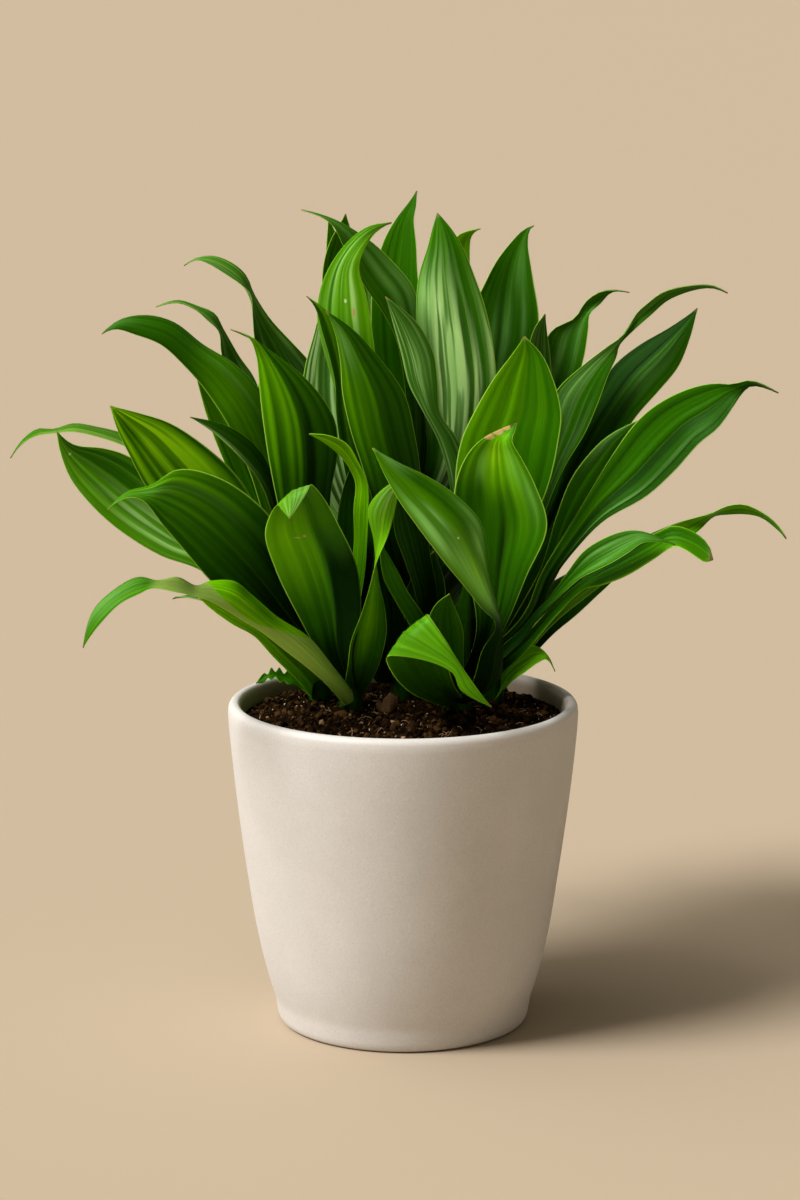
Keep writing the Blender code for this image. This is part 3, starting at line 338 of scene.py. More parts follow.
FAR_RIGHT_LEAVES = {
    "far_right_arch": (10, 10, -40, [(98, 60, 106, 54, 4, 6), (122, 82, 132, 76, -16, 8),
        (148, 104, 158, 96, -34, 8), (172, 119, 184, 108, -48, 8), (194, 128, 207, 121, -58, 10),
        (218, 134.5, 220, 133, -65, 14), (229, 140, 229, 134, -68, 12), (242, 141.5, 243, 134, -72, 12),
        (256, 135, 254, 131.5, -76, 10), (266, 126, 265, 123.5, -79, 6), (271.5, 117, -82)], look((70, 62),
        under=(90, 10), streaks=(-100, 50), foot=10)),
    "under_right": (4, 10, -30, [(94, 48, 103, 44, 24), (114, 68, 124, 62, 14), (132, 83, 140, 78, 4),
        (154, 91, -6)], look((30, 26))),
    "small_low_right": (2, 12, -40, [(74, 29, 76, 12, 14), (84, 38, 88, 20, 8), (93, 40, 96, 27, 4),
        (101, 35.5, 102, 30, 0), (108.5, 21, -3)], look((75, 90), foot=10)),
    "shaded_right": (24, 12, -22, [(96, 92, 108, 88, 8), (108, 132, 126, 124, 0), (118, 158, 142, 146, -6),
        (130, 176, 156, 166, -11), (145, 191, 164, 186, -16), (168, 203, -20)], look((42, 25),
        sheens=((90, -90, 9, 30, 50),))),
    "wide_right": (50, -12, -30, [(98, 130, 116, 126, 22), (110, 168, 136, 158, 19), (123, 200, 152, 184, 17),
        (138, 224, 165, 205, 15), (149, 241, 180, 223, 14), (166, 255, 193, 240, 13),
        (186, 267, 201, 260, 13), (198, 275, 204, 271, 13), (206, 281, 13)], look((32, 42), tip=(6, 20),
        foot=30, sheens=((80, 30, 10, 30, 8),))),
    "twisted_right": (64, 12, -22, [(92, 160, 112, 164, 12), (98, 195, 128, 192, 6), (107, 222, 137, 214, 2),
        (124, 239, 144, 234, -1), (142, 253, 150, 247, -4, 4), (154, 262, 152, 255, -6, 8),
        (163, 277, 162, 266, -8, 6), (170, 284, 173, 276, -10, 6), (182, 293, 185, 287, -12, 8),
        (200, 297, 202, 293.5, -14, 8), (216, 297, 216, 295, -16, 6), (227, 291.5, -18)], look((46, 40),
        pale=(10, 5), tip=(46, 42), foot=30, sheens=((58, -44, 10, 20, 40), (67, -10, 8, 15, 35)))),
    "small_tip_right": (68, 10, 20, [(84, 175, 100, 178, 32), (84, 218, 104, 220, 24),
        (87, 250, 103, 248, 18), (92, 267, 101, 264, 15), (99.5, 277, 14)], look((34, 36), pale=(15, 10))),
}
BACK_LEAVES = {
    "tall_right": (100, 12, -22, [(34, 190, 70, 194, 62), (42, 240, 93, 244, 54), (49, 280, 95, 276, 51),
        (57, 298, 91, 299, 50), (66, 315, 88.5, 314, 49), (76, 328, 87, 326, 49), (84, 336, 88, 335, 49),
        (91, 339, 49)], look((42, 38), sheens=((68, 0, 10, 12, 30), (66, -36, 10, 10, 25), (72, 50, 9, 8, 25),
        (88, 40, 8, 30, 15)))),
    "back_right": (84, 12, -17, [(72, 175, 96, 178, 60), (86, 215, 118, 218, 52), (96, 246, 127, 246, 47),
        (105, 266, 130, 266, 44), (120, 274, 131, 277, 42), (128, 286, 138, 284, 41, 4),
        (140, 293, 146, 292, 40, 6), (158, 292, 39)], look((50, 42), sheens=((72, -20, 12, 20, 35),
        (80, 50, 10, 20, 20)))),
    "back_left": (96, 12, 22, [(-70, 195, -38, 205, 66), (-98, 238, -66, 244, 60), (-104, 256, -76, 255, 58),
        (-106, 275, -94, 274, 57, 8), (-107, 290, -105, 291, 56, 16), (-113, 297, -109.5, 303, 56, 10),
        (-124, 305, -118, 312, 56, 6), (-136, 312.5, -132, 318, 56, 6), (-145, 315, -144, 316.5, 55, 4),
        (-153, 311, 54)], look((50, 46), pale=(25, 20), tip=(60, 60))),
    "back_top_left": (110, 10, 14, [(-40, 215, -20, 222, 66), (-52, 265, -30, 270, 60),
        (-54, 310, -38, 312, 57), (-52, 344, 56)], look((66, 58))),
}
LEAVES = {
    "shoot_front_left": FRONT_LEFT_LEAVES,
    "shoot_front_right": FRONT_RIGHT_LEAVES,
    "shoot_middle": MIDDLE_LEAVES,
    "shoot_far_left": FAR_LEFT_LEAVES,
    "shoot_far_right": FAR_RIGHT_LEAVES,
    "shoot_back": BACK_LEAVES,
}

# The rear leaves follow one rule. Each has the height it grows from, its azimuth, its lean from upright at
# the foot, the lean it gains by the tip, its length and its width, in mm and degrees.
REAR_LEAVES = {
    "shoot_back": [
        (6, 66, 54, 52, 225, 46), (10, 114, 52, 56, 225, 48), (18, 90, 50, 52, 240, 52),
        (26, 46, 46, 50, 235, 50), (32, 126, 46, 50, 235, 50), (44, 76, 36, 46, 255, 56),
        (54, 104, 35, 44, 255, 54), (62, 52, 30, 44, 250, 50), (70, 128, 30, 44, 245, 50),
        (84, 90, 22, 38, 265, 58), (94, 66, 14, 34, 245, 48), (104, 120, 13, 34, 245, 48)],
    "shoot_far_left": [
        (20, 132, 60, 52, 178, 44), (34, 122, 46, 46, 215, 44), (56, 115, 36, 42, 230, 48),
        (74, 104, 26, 40, 215, 42)],
    "shoot_far_right": [
        (18, 50, 55, 42, 188, 44), (36, 64, 46, 44, 215, 44), (56, 54, 36, 40, 235, 48),
        (78, 74, 28, 40, 205, 40)],
}
# Along a rear leaf: the step on its path, and its width there as a share of the full width.
REAR_WIDTHS = [(7, 0.62), (12, 0.88), (17, 1.0), (22, 0.9), (26, 0.66), (30, 0.26), (32, 0.02)]
REAR_STEPS = 32
REAR_FOLD = -14
REAR_LOOK = look((42, 36), pale=(12, 6))


def unit(vectors):
    return vectors / np.maximum(np.linalg.norm(vectors, axis=-1, keepdims=True), 1e-12)


def ramp(values, low, high):
    """0 below low, 1 above high, and an easy slope between them."""
    share = np.clip((values - low) / (high - low), 0, 1)
    return share * share * (3 - 2 * share)


def fade(values, middle, half):
    """1 well below the middle and 0 well above it, with an easy slope of this half length between them."""
    return 1 - ramp(values, middle - half, middle + half)


def between(pair, share):
    """The value this share of the way from the pair's first to its second."""
    return pair[0] + (pair[1] - pair[0]) * share


def even_turns(count):
    return np.linspace(0, math.tau, count, endpoint=False)


def circle(turn):
    """Points at these turns on a flat circle of radius 1."""
    return np.stack([np.cos(turn), np.sin(turn), np.zeros_like(turn)], -1)


def mid_line(rows):
    return (rows[:, :3] + rows[:, 3:]) / 2


def walked_along(line):
    """How far along a line of points each of them lies."""
    return np.concatenate([[0], np.cumsum(np.linalg.norm(np.diff(line, axis=0), axis=1))])


def new_object(name, data):
    item = bpy.data.objects.new(name, data)
    bpy.context.scene.collection.objects.link(item)
    return item


def put_mesh(name, points, faces, material, smooth=True, numbers=None):
    """Put arrays of points and faces into a new mesh object, with number arrays kept as point attributes."""
    mesh = bpy.data.meshes.new(name)
    mesh.from_pydata(np.asarray(points).reshape(-1, 3).tolist(), [], faces)
    mesh.polygons.foreach_set("use_smooth", np.full(len(mesh.polygons), smooth))
    for key, values in (numbers or {}).items():
        kept = mesh.attributes.new(key, "FLOAT", "POINT")
        kept.data.foreach_set("value", np.asarray(values, dtype=np.float32).ravel())
    mesh.materials.append(material)
    mesh.update()
    return new_object(name, mesh)


def ring_faces(rows, around, first=0, caps=True):
    """The faces of a closed tube: quads between each ring and the next, and one face at each end."""
    i = np.arange(rows - 1)[:, None] * around + first
    j = np.arange(around)[None, :]
    k = (j + 1) % around
    quads = np.stack([i + j, i + k, i + around + k, i + around + j], -1).reshape(-1, 4).tolist()
    if caps:
        quads.append((np.arange(around)[::-1] + first).tolist())
        quads.append((np.arange(around) + first + (rows - 1) * around).tolist())
    return quads


def seen(across, above, depth):
    """The point at this depth on the line of sight through a spot in the plane y = 0, all in mm."""
    spot = np.array([across * MM, 0, RIM_HEIGHT + above * MM])
    return EYE + (spot - EYE) * (depth * MM - EYE[1]) / -EYE[1]


def stem_axis(shoot, height):
    """The stem's middle at a height above the soil: it leans more and more towards its top."""
    x, y, top, lean_x, lean_y = STEMS[shoot]
    share = np.maximum(np.asarray(height) / top, 0)
    return np.stack([x + lean_x * share**2, y + lean_y * share**2, SOIL_LEVEL + height], -1) * MM


def edge_row(middle, side, width):
    """The two edge points to either side of a middle, a width in mm apart, as one row of six numbers."""
    half = side * width * MM / 2
    return np.concatenate([middle - half, middle + half])


def front_rows(shoot, grows, turned, stations):
    """The two edges of a front leaf, one row of six numbers a station, the first one inside the stem."""
    steep = math.tan(math.radians(turned))
    rows = []
    for station in stations[:-1]:
        across_a, above_a, across_b, above_b, depth, turn = (*station, 0)[:6]
        turn += steep * math.hypot(across_b - across_a, above_b - above_a)
        one = seen(across_a, above_a, depth - turn / 2)
        two = seen(across_b, above_b, depth + turn / 2)
        rows.append(np.concatenate([one, two]))
    root = edge_row(stem_axis(shoot, grows), unit(rows[0][3:] - rows[0][:3]), BLADE_FOOT)
    return np.array([root, *rows, np.tile(seen(*stations[-1]), 2)])


def rear_rows(shoot, grows, azimuth, lean, gain, length, width):
    """The same rows for a rear leaf, on a path that leans over more and more towards its tip."""
    root = stem_axis(shoot, grows)
    turn = math.radians(azimuth)
    out = np.array([math.cos(turn), math.sin(turn), 0])
    side = np.array([-out[1], out[0], 0])
    share = np.linspace(0, 1, REAR_STEPS + 1)
    angle = np.radians(lean + gain * share**1.6)[:, None]
    step = length * MM / REAR_STEPS * (np.sin(angle) * out + np.cos(angle) * np.array([0, 0, 1]))
    path = root + np.cumsum(step, axis=0) - step[0]
    rows = [edge_row(path[place], side * part, width) for place, part in REAR_WIDTHS]
    return np.array([edge_row(root, side, BLADE_FOOT), *rows])


def cubic(s, span, one, two, slope_one, slope_two):
    """The cubic curve from one to two over a span, with these slopes at its ends, read at its shares s."""
    start = (2 * s**3 - 3 * s**2 + 1) * one + (s**3 - 2 * s**2 + s) * span * slope_one
    return start + ((3 * s**2 - 2 * s**3) * two + (s**3 - s**2) * span * slope_two)


def smooth(rows, count):
    """A Catmull-Rom curve through the rows, spaced by the mid line's chords, read at even places."""
    chord = np.maximum(np.linalg.norm(np.diff(mid_line(rows), axis=0), axis=1), SHORTEST_CHORD * MM)
    at = np.concatenate([[0], np.cumsum(np.sqrt(chord))])
    before = (at[1:-1] - at[:-2])[:, None]
    after = (at[2:] - at[1:-1])[:, None]
    slope = np.empty_like(rows)
    rise = (rows[1:-1] - rows[:-2]) / before * after + (rows[2:] - rows[1:-1]) / after * before
    slope[1:-1] = rise / (before + after)
    slope[0] = (rows[1] - rows[0]) / (at[1] - at[0]) * 1.5 - slope[1] * 0.5
    slope[-1] = (rows[-1] - rows[-2]) / (at[-1] - at[-2]) * 1.5 - slope[-2] * 0.5
    reads = np.linspace(0, at[-1], CURVE_READS)
    k = np.clip(np.searchsorted(at, reads, "right") - 1, 0, len(rows) - 2)
    span = (at[k + 1] - at[k])[:, None]
    s = (reads - at[k])[:, None] / span
    curve = cubic(s, span, rows[k], rows[k + 1], slope[k], slope[k + 1])
    walked = walked_along(mid_line(curve))
    even = np.linspace(0, walked[-1], count + 1)
    return np.stack([np.interp(even, walked, curve[:, n]) for n in range(6)], 1)


def ease(line, times):
    """Soften a row of vectors by averaging each with its neighbours, the ends kept."""
    for _ in range(times):
        line[1:-1] = (line[:-2] + 2 * line[1:-1] + line[2:]) / 4
    return line


def flute_wave(share, across, phases):
    """Ridges that run along the blade, from -1 to 1: cosines of the distance from the mid line that drift."""
    reach = np.abs(across)
    drift = 0.7 * np.sin(3.1 * share + phases[0])
    wave = np.cos(math.tau * 2.9 * reach + drift + phases[1])
    wave = wave + 0.6 * np.cos(math.tau * 4.6 * reach + 2 * drift + phases[2])
    wave = wave + 0.7 * np.cos(math.tau * 1.6 * across + drift + phases[3])
    return wave / 1.7


def second_half(share, across, split, soft):
    """0 on the leaf's first half and 1 on its second, the two meeting at the split."""
    shares, places = np.array(split, dtype=float).T
    return ramp(across - np.interp(share, shares, places), -soft, soft)


def ovals(share, across, spots):
    """The sum of soft ovals: for each its strength times a bell of the distance from its share and place."""
    total = 0 * share * across
    for at, place, long, wide, strength in spots:
        total = total + strength * np.exp(-(((share - at) / long) ** 2) - ((across - place) / wide) ** 2)
    return total


def leaf_tone(share, across, looks):
    """How bright the leaf is at each point, from its look's numbers, painted light and shade included."""
    second = second_half(share, across, looks["split"], 0.04 if looks["under"][0] > 0.5 else 0.16)
    start = looks["tip_from"]
    ends = between(looks["tone"], second), between(looks["tip"], second)
    # Painted shade: the leaf darkens towards its foot.
    foot = looks["foot"] * (1 - ramp(share, 0.1, 0.8))
    return between(ends, ramp(share, start, start + 0.25)) - foot + ovals(share, across, looks["shades"])


def leaf_numbers(share, across, looks, phases, seed):
    """What the shader reads at each point, apart from the length walked; the lower side comes last."""
    second = second_half(share, across, looks["split"], 0.05)
    first, last = looks["streaks"]
    streaked = ramp(share, first - 0.08, first + 0.08) * fade(share, last, 0.1)
    lower = np.arange(across.shape[1]) >= LEAF_WIDE + 2
    full = np.ones_like(across)
    return {
        "across": across,
        # The flutes set painted light and shade in bands; the tone carries the painted light and shade of the
        # look.
        "flute": flute_wave(share, across, phases) * looks["bands"],
        "tone": leaf_tone(share, across, looks),
        # Pale carries the painted gloss streaks and glints, sheen an even painted sheen.
        "pale": between(looks["pale"], second) * streaked + ovals(share, across, looks["glints"]),
        "sheen": ovals(share, across, looks["sheens"]),
        "below": np.maximum(UNDERSIDE * lower, between(looks["under"], second) * fade(share, last, 0.02)),
        "dry": ramp(share, 1 - 2 * looks["dry"], 1) * full,
        "seed": full * seed,
    }


def blade_frame(rows, count):
    """Along a blade: its middle, the direction to its second edge, its half width and where it faces."""
    line = smooth(rows, count)
    middle = mid_line(line)
    half = (line[:, 3:] - line[:, :3]) / 2
    size = np.linalg.norm(half, axis=1, keepdims=True)
    side = half / np.maximum(size, 1e-9)
    side[-1] = side[-2]
    along = unit(np.gradient(middle, axis=0))
    normal = unit(ease(unit(np.cross(side, along)), 3))
    return middle, side, np.maximum(size, TIP_HALF_WIDTH * MM), normal


def blade_lift(share, across, size, fold, phases):
    """How far each point stands off the plane of the edges: fold, flutes, the edges' wave and the rib."""
    reach = np.abs(across)
    angle = np.radians(abs(fold) + FOLD_AT_FOOT * (1 - share) ** 3) * np.sign(fold)
    flutes = flute_wave(share, across, phases) * ramp(share, 0.02, 0.2) * (1 - ramp(share, 0.88, 1))
    wave = np.where(across < 0, np.sin(11 * share + phases[4]), np.sin(13 * share + phases[5]))
    wave = wave * EDGE_WAVE * MM * reach**3 * ramp(share, 0.12, 0.35) * (1 - ramp(share, 0.85, 1))
    rib = -RIB_DEPTH * MM * np.exp(-((across / RIB_WIDTH) ** 2)) * ramp(size, 0.004, 0.012)
    return -size * np.sin(angle) * (1 - reach**1.5) + flutes * size * FLUTE * (1 - reach**6) + wave + rib


def leaf_skin(rows, fold, looks, seed):
    """One leaf's closed skin.

    The sheet runs along the two smoothed edges. Across it the mid line sinks as 1 - |t| ^ 1.5 times the fold,
    flutes run along it, and the edges wave as |t| ^ 3 times a sine. Two copies of the sheet lie half a
    thickness above and below, thinning to nothing at the edges.
    """
    middle, side, size, normal = blade_frame(rows, looks["rows"])
    share = np.linspace(0, 1, looks["rows"] + 1)[:, None]
    inner = np.linspace(-LEAF_INNER, LEAF_INNER, LEAF_WIDE)
    across = np.concatenate([[-1], inner, [1]])[None, :]
    own = np.random.default_rng(seed)
    phases = own.uniform(0, math.tau, 6)
    lift = blade_lift(share, across, size, fold, phases)
    sheet = middle[:, None] + side[:, None] * (size * across)[..., None] + normal[:, None] * lift[..., None]
    face = unit(np.cross(np.gradient(sheet, axis=1), np.gradient(sheet, axis=0)))
    thick = BLADE_HALF_THICK * MM * np.sqrt(np.clip(1 - np.abs(across) ** 8, 0, 1)) * np.ones_like(share)
    upper = sheet + face * thick[..., None]
    lower = (sheet - face * thick[..., None])[:, -2:0:-1]
    both = np.concatenate([across, across[:, -2:0:-1]], axis=1) * np.ones_like(share)
    numbers = leaf_numbers(share, both, looks, phases, own.uniform(0, 40))
    walked = np.cumsum(np.linalg.norm(np.gradient(middle, axis=0), axis=1))[:, None]
    numbers["walked"] = walked * np.ones_like(both)
    return np.concatenate([upper, lower], axis=1), numbers


def stem_skin(shoot):
    """A stem's closed skin: rings round the leaning axis, swollen a little at each leaf scar, then a bud."""
    top = STEMS[shoot][2]
    heights = np.linspace(-STEM_ROOT, top, STEM_ROWS)
    over, parts = np.array(STEM_BUD, dtype=float).T
    rise = np.linspace(0, over[-1], BUD_ROWS + 1)[1:]
    share = np.maximum(heights / top, 0)
    radius = STEM_RADIUS * (1 - share * (1 - STEM_TOP_RADIUS / STEM_RADIUS)) - STEM_SCAR
    radius = radius + STEM_SCAR * np.abs(np.sin(math.pi * heights / STEM_SCAR_STEP)) ** 6
    radius = np.concatenate([radius, (STEM_TOP_RADIUS - STEM_SCAR) * np.interp(rise, over, parts)])
    heights = np.concatenate([heights, top + rise])
    turn = even_turns(STEM_AROUND)
    radius = radius[:, None] * (1 + 0.02 * np.sin(3 * turn + heights[:, None] * 0.07))
    points = stem_axis(shoot, heights)[:, None] + circle(turn)[None] * radius[..., None] * MM
    values = {"across": np.sin(turn) * 0.8, "flute": np.cos(5 * turn), "walked": heights[:, None] * MM}
    values.update(STEM_LOOK)
    return points, {key: values.get(key, 0) * np.ones(points.shape[:2]) for key in LEAF_NUMBERS}


def shoot_piece(shoot, order):
    """A leafy shoot: its stem and all its leaves as closed skins in one mesh."""
    skins = [stem_skin(shoot)]
    seeds = SHOOT_SEEDS * order
    for seed, (grows, fold, turned, stations, looks) in enumerate(LEAVES[shoot].values(), seeds):
        skins.append(leaf_skin(front_rows(shoot, grows, turned, stations), fold, looks, seed))
    for seed, rule in enumerate(REAR_LEAVES.get(shoot, []), seeds + REAR_SEEDS):
        skins.append(leaf_skin(rear_rows(shoot, *rule), REAR_FOLD, REAR_LOOK, seed))
    faces = []
    first = 0
    for points, _ in skins:
        faces += ring_faces(points.shape[0], points.shape[1], first)
        first += points.shape[0] * points.shape[1]
    points = np.concatenate([points.reshape(-1, 3) for points, _ in skins])
    numbers = {key: np.concatenate([kept[key].ravel() for _, kept in skins]) for key in LEAF_NUMBERS}
    item = put_mesh(shoot + "_leaves", points, faces, leaf_material(), True, numbers)
    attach(item, "root")
    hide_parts(shoot)
    return item


def spin_skin(profile, around):
    """A profile of radius and height spun round the Z axis, closed by a point at each end on the axis."""
    profile = np.asarray(profile, dtype=float)
    turn = even_turns(around)
    rings = profile[1:-1]
    x = rings[:, :1] * np.cos(turn)
    y = rings[:, :1] * np.sin(turn)
    z = rings[:, 1:] * np.ones_like(x)
    points = np.stack([x, y, z], -1).reshape(-1, 3)
    points = np.concatenate([points, [[0, 0, profile[0, 1]], [0, 0, profile[-1, 1]]]])
    faces = ring_faces(len(rings), around, 0, False)
    j = np.arange(around)
    k = (j + 1) % around
    start = len(rings) * around
    last = (len(rings) - 1) * around
    faces += np.stack([k, j, np.full(around, start)], -1).tolist()
    faces += np.stack([last + j, last + k, np.full(around, start + 1)], -1).tolist()
    return points * MM, faces


def rounded(profile, pieces):
    """A profile with each stretch read at a few places along a smooth curve through all its points."""
    profile = np.asarray(profile, dtype=float)
    at = walked_along(profile)
    slope = np.gradient(profile, at, axis=0)
    slope[[0, 1, -2, -1], 1] = 0
    s = np.linspace(0, 1, pieces, endpoint=False)[None, :, None]
    span = np.diff(at)[:, None, None]
    line = cubic(s, span, profile[:-1, None], profile[1:, None], slope[:-1, None], slope[1:, None])
    return np.concatenate([line.reshape(-1, 2), profile[-1:]])


def pot_piece():
    """The pot: its rounded profile spun round the Z axis, slowly uneven by up to 0.15 mm."""
    points, faces = spin_skin(rounded(POT_PROFILE, POT_PARTS), POT_AROUND)
    turn = np.arctan2(points[:, 1], points[:, 0])
    far = np.hypot(points[:, 0], points[:, 1])
    uneven = 1 + 0.0012 * np.sin(3 * turn + 40 * points[:, 2]) * ramp(far, 0.06, 0.09)
    points[:, :2] *= uneven[:, None]
    item = put_mesh("pot_wall", points, faces, pot_material())
    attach(item, "root")
    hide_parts("pot")


def lumps(x, y):
    """A lumpy height in mm: two slow sines, then many short waves in random directions."""
    big = np.sin(0.071 * x + 0.9) * np.sin(0.083 * y + 2.1) + np.sin(0.11 * (x + y) + 0.4) * 0.6
    small = np.sin(0.23 * x - 0.17 * y) * 0.5 + np.sin(0.31 * y + 0.13 * x + 1.3) * 0.4
    height = (big + small) * SOIL_LUMP / 2
    own = np.random.default_rng(SOIL_SEED)
    for size in np.geomspace(14, 2.2, 22):
        turn, start = own.uniform(0, math.tau, 2)
        along = x * math.cos(turn) + y * math.sin(turn)
        height = height + 0.045 * size * np.sin(math.tau / size * along + start)
    return height


def mound(far):
    """The smooth height of the soil in mm at a distance from the pot's axis."""
    return np.interp(far, *np.array(SOIL_TOP, dtype=float).T)


def soil_height(x, y):
    """The soil's height in mm: its mound, and lumps that fade out next to the wall."""
    far = np.hypot(x, y)
    return mound(far) + lumps(x, y) * np.clip((SOIL_FLAT_FROM - far) / SOIL_FADE, 0, 1)


def soil_piece():
    """The bed of soil: a closed disc whose top follows the soil's height."""
    far = np.concatenate([[0], np.linspace(1, SOIL_RADIUS, SOIL_RINGS)])
    points, faces = spin_skin(np.concatenate([np.stack([far, mound(far)], -1), SOIL_SIDE]), SOIL_AROUND)
    top = points[:, 2] > SOIL_LOWEST_TOP * MM
    points[top, 2] = soil_height(points[top, 0] / MM, points[top, 1] / MM) * MM
    item = put_mesh("soil_bed", points, [face[::-1] for face in faces], soil_material())
    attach(item, "root")
    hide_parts("soil")


def ico_shape():
    """The 12 corners and 20 faces of a regular solid of radius 1."""
    g = (1 + 5**0.5) / 2
    ring = [(-1, g, 0), (1, g, 0), (-1, -g, 0), (1, -g, 0)]
    corners = ring + [(c, a, b) for a, b, c in ring] + [(b, c, a) for a, b, c in ring]
    corners = unit(np.array(corners, dtype=float))
    apart = np.linalg.norm(corners[:, None] - corners[None], axis=2)
    near = (apart > 0.1) & (apart < 1.2)
    faces = []
    for a, b, c in itertools.combinations(range(12), 3):
        if near[a, b] and near[b, c] and near[a, c]:
            out = np.cross(corners[b] - corners[a], corners[c] - corners[a]) @ corners[a]
            faces.append((a, b, c) if out > 0 else (a, c, b))
    return corners, np.array(faces)


def free_spots(count, own, reach):
    """Random spots on the soil in mm, none inside a stem."""
    turn = own.uniform(0, math.tau, count * 2)
    far = reach * np.sqrt(own.uniform(0, 1, count * 2))
    x, y = far * np.cos(turn), far * np.sin(turn)
    clear = np.ones(len(x), dtype=bool)
    for foot_x, foot_y, *_ in STEMS.values():
        clear &= np.hypot(x - foot_x, y - foot_y) > STEM_RADIUS
    return x[clear][:count], y[clear][:count]


def loose_piece(name, points, faces, tone, smooth=True):
    """Put loose pieces that lie on the soil into one mesh."""
    item = put_mesh(name, points, faces, crumb_material(), smooth, {"tone": tone})
    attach(item, "root")


def crumbs_piece(name, count, sizes, stretch, tones, seed):
    """Many small lumps bedded in the soil: 20-faced solids, each stretched, turned and dented at random."""
    own = np.random.default_rng(seed)
    corners, faces = ico_shape()
    x, y = free_spots(count, own, CRUMB_REACH)
    count = len(x)
    size = sizes[0] * (sizes[1] / sizes[0]) ** (own.uniform(0, 1, count) ** 2.2)
    shape = corners[None] * own.uniform(0.7, 1.25, (count, 12, 1)) * size[:, None, None]
    shape = shape * own.uniform(*stretch, (count, 1, 3))
    axes = unit(own.normal(size=(count, 3)))
    other = unit(np.cross(axes, own.normal(size=(count, 3))))
    third = np.cross(axes, other)
    shape = np.einsum("nkj,nji->nki", shape, np.stack([axes, other, third], 1))
    keep_in = np.minimum(1, (CRUMB_LIMIT - size * 1.5) / np.maximum(np.hypot(x, y), 1))
    x, y = x * keep_in, y * keep_in
    middle = np.stack([x, y, soil_height(x, y) + size * 0.25], -1)
    points = (shape + middle[:, None]) * MM
    every = (faces[None] + 12 * np.arange(count)[:, None, None]).reshape(-1, 3).tolist()
    loose_piece(name, points, every, np.repeat(own.uniform(*tones, count), 12), False)


def fibres_piece():
    """Loose root fibres: thin four-sided tubes along short arcs that lie on the soil."""
    own = np.random.default_rng(FIBRE_SEED)
    points, faces = [], []
    s = np.linspace(-0.5, 0.5, FIBRE_ROWS)
    thin = (0.24 * (1 - (2 * s) ** 4) + 0.05)[:, None]
    up = np.array([0, 0, 1.0])
    for k, (x, y) in enumerate(zip(*free_spots(FIBRE_COUNT, own, FIBRE_REACH))):
        turn, bend, length = own.uniform(0, math.tau), own.uniform(-1.6, 1.6), own.uniform(*FIBRE_LENGTHS)
        angle = turn + bend * s
        x = x + np.cumsum(np.cos(angle)) * length / FIBRE_ROWS
        y = y + np.cumsum(np.sin(angle)) * length / FIBRE_ROWS
        line = np.stack([x, y, soil_height(x, y) + 0.5 + 0.8 * np.cos(math.pi * s)], -1)
        side = np.stack([-np.sin(angle), np.cos(angle), 0 * angle], -1)
        ring = [line + side * thin, line + up * thin, line - side * thin, line - up * thin]
        faces += ring_faces(FIBRE_ROWS, 4, k * FIBRE_ROWS * 4)
        points.append(np.stack(ring, 1).reshape(-1, 3))
    points = np.concatenate(points) * MM
    loose_piece("root_fibres", points, faces, np.full(len(points), FIBRE_TONE))


def chip_piece():
    """The bark chip and a bit beside it: flattened lumps with layered edges, standing askew in the soil."""
    turn = even_turns(CHIP_AROUND)[None, :]
    rise = np.linspace(-1, 1, CHIP_ROWS + 2)[1:-1, None]
    layers = 1 + 0.16 * np.sin(3 * turn + 2 * rise) + 0.09 * np.sin(7 * turn + 5 * rise)
    far = np.sqrt(1 - rise**2) ** 0.6 * (layers + 0.05 * np.sin(9 * rise))
    points, faces = [], []
    for order, (x_at, y_at, z_at, wide, deep, high, tilt) in enumerate(CHIPS):
        x = wide * far * np.cos(turn)
        z = high * rise * (1 + 0.1 * np.sin(2 * turn))
        flat = x * math.cos(tilt) - z * math.sin(tilt)
        tall = x * math.sin(tilt) + z * math.cos(tilt)
        y = deep * far * np.sin(turn) + 0.3 * tall
        points.append(np.stack([flat + x_at, y + y_at, tall + z_at], -1).reshape(-1, 3))
        faces += ring_faces(CHIP_ROWS, CHIP_AROUND, order * CHIP_ROWS * CHIP_AROUND)
    points = np.concatenate(points)
    loose_piece("bark_chip", points * MM, faces, np.full(len(points), CHIP_TONE))


def node(tree, kind, settings=None, inputs=None):
    """A shader node with its settings, and its inputs set to a value or linked from another node's output."""
    made = tree.nodes.new("ShaderNode" + kind)
    for key, value in (settings or {}).items():
        setattr(made, key, value)
    for key, value in (inputs or {}).items():
        if isinstance(value, bpy.types.NodeSocket):
            tree.links.new(value, made.inputs[key])
        else:
            made.inputs[key].default_value = value
    return made


def calculate(tree, operation, *values):
    return node(tree, "Math", {"operation": operation}, dict(enumerate(values))).outputs[0]


def scaled(tree, value, factor, rest=0.0):
    """A value times a factor, plus the rest."""
    return calculate(tree, "MULTIPLY_ADD", value, factor, rest)


def vector(tree, operation, *values):
    """The outputs of a vector calculation: a vector, and for a length or a product of two, a value."""
    return node(tree, "VectorMath", {"operation": operation}, dict(enumerate(values))).outputs


def slope(tree, value, low, high, least=0.0, most=1.0):
    """An easy slope from least to most as the value goes from low to high."""
    kind = {"interpolation_type": "SMOOTHSTEP"}
    return node(tree, "MapRange", kind, {0: value, 1: low, 2: high, 3: least, 4: most}).outputs[0]


def layered(tree, colour, *layers):
    """A colour under others, each laid over the last by its share."""
    for share, other in layers:
        mix = node(tree, "Mix", {"data_type": "RGBA"}, {0: share})
        for socket, part in ((mix.inputs[6], colour), (mix.inputs[7], other)):
            if isinstance(part, bpy.types.NodeSocket):
                tree.links.new(part, socket)
            else:
                socket.default_value = (*part, 1)
        colour = mix.outputs[2]
    return colour


def noise(tree, place, scale, detail=2.0, rough=0.5):
    inputs = {"Vector": place, "Scale": scale, "Detail": detail, "Roughness": rough}
    return node(tree, "TexNoise", None, inputs).outputs["Fac"]


def grain(tree, place, stretch, detail):
    """Noise from -0.5 to 0.5 on a stretched place."""
    stretched = vector(tree, "MULTIPLY", place, stretch)[0]
    return calculate(tree, "SUBTRACT", noise(tree, stretched, 1.0, detail), 0.5)


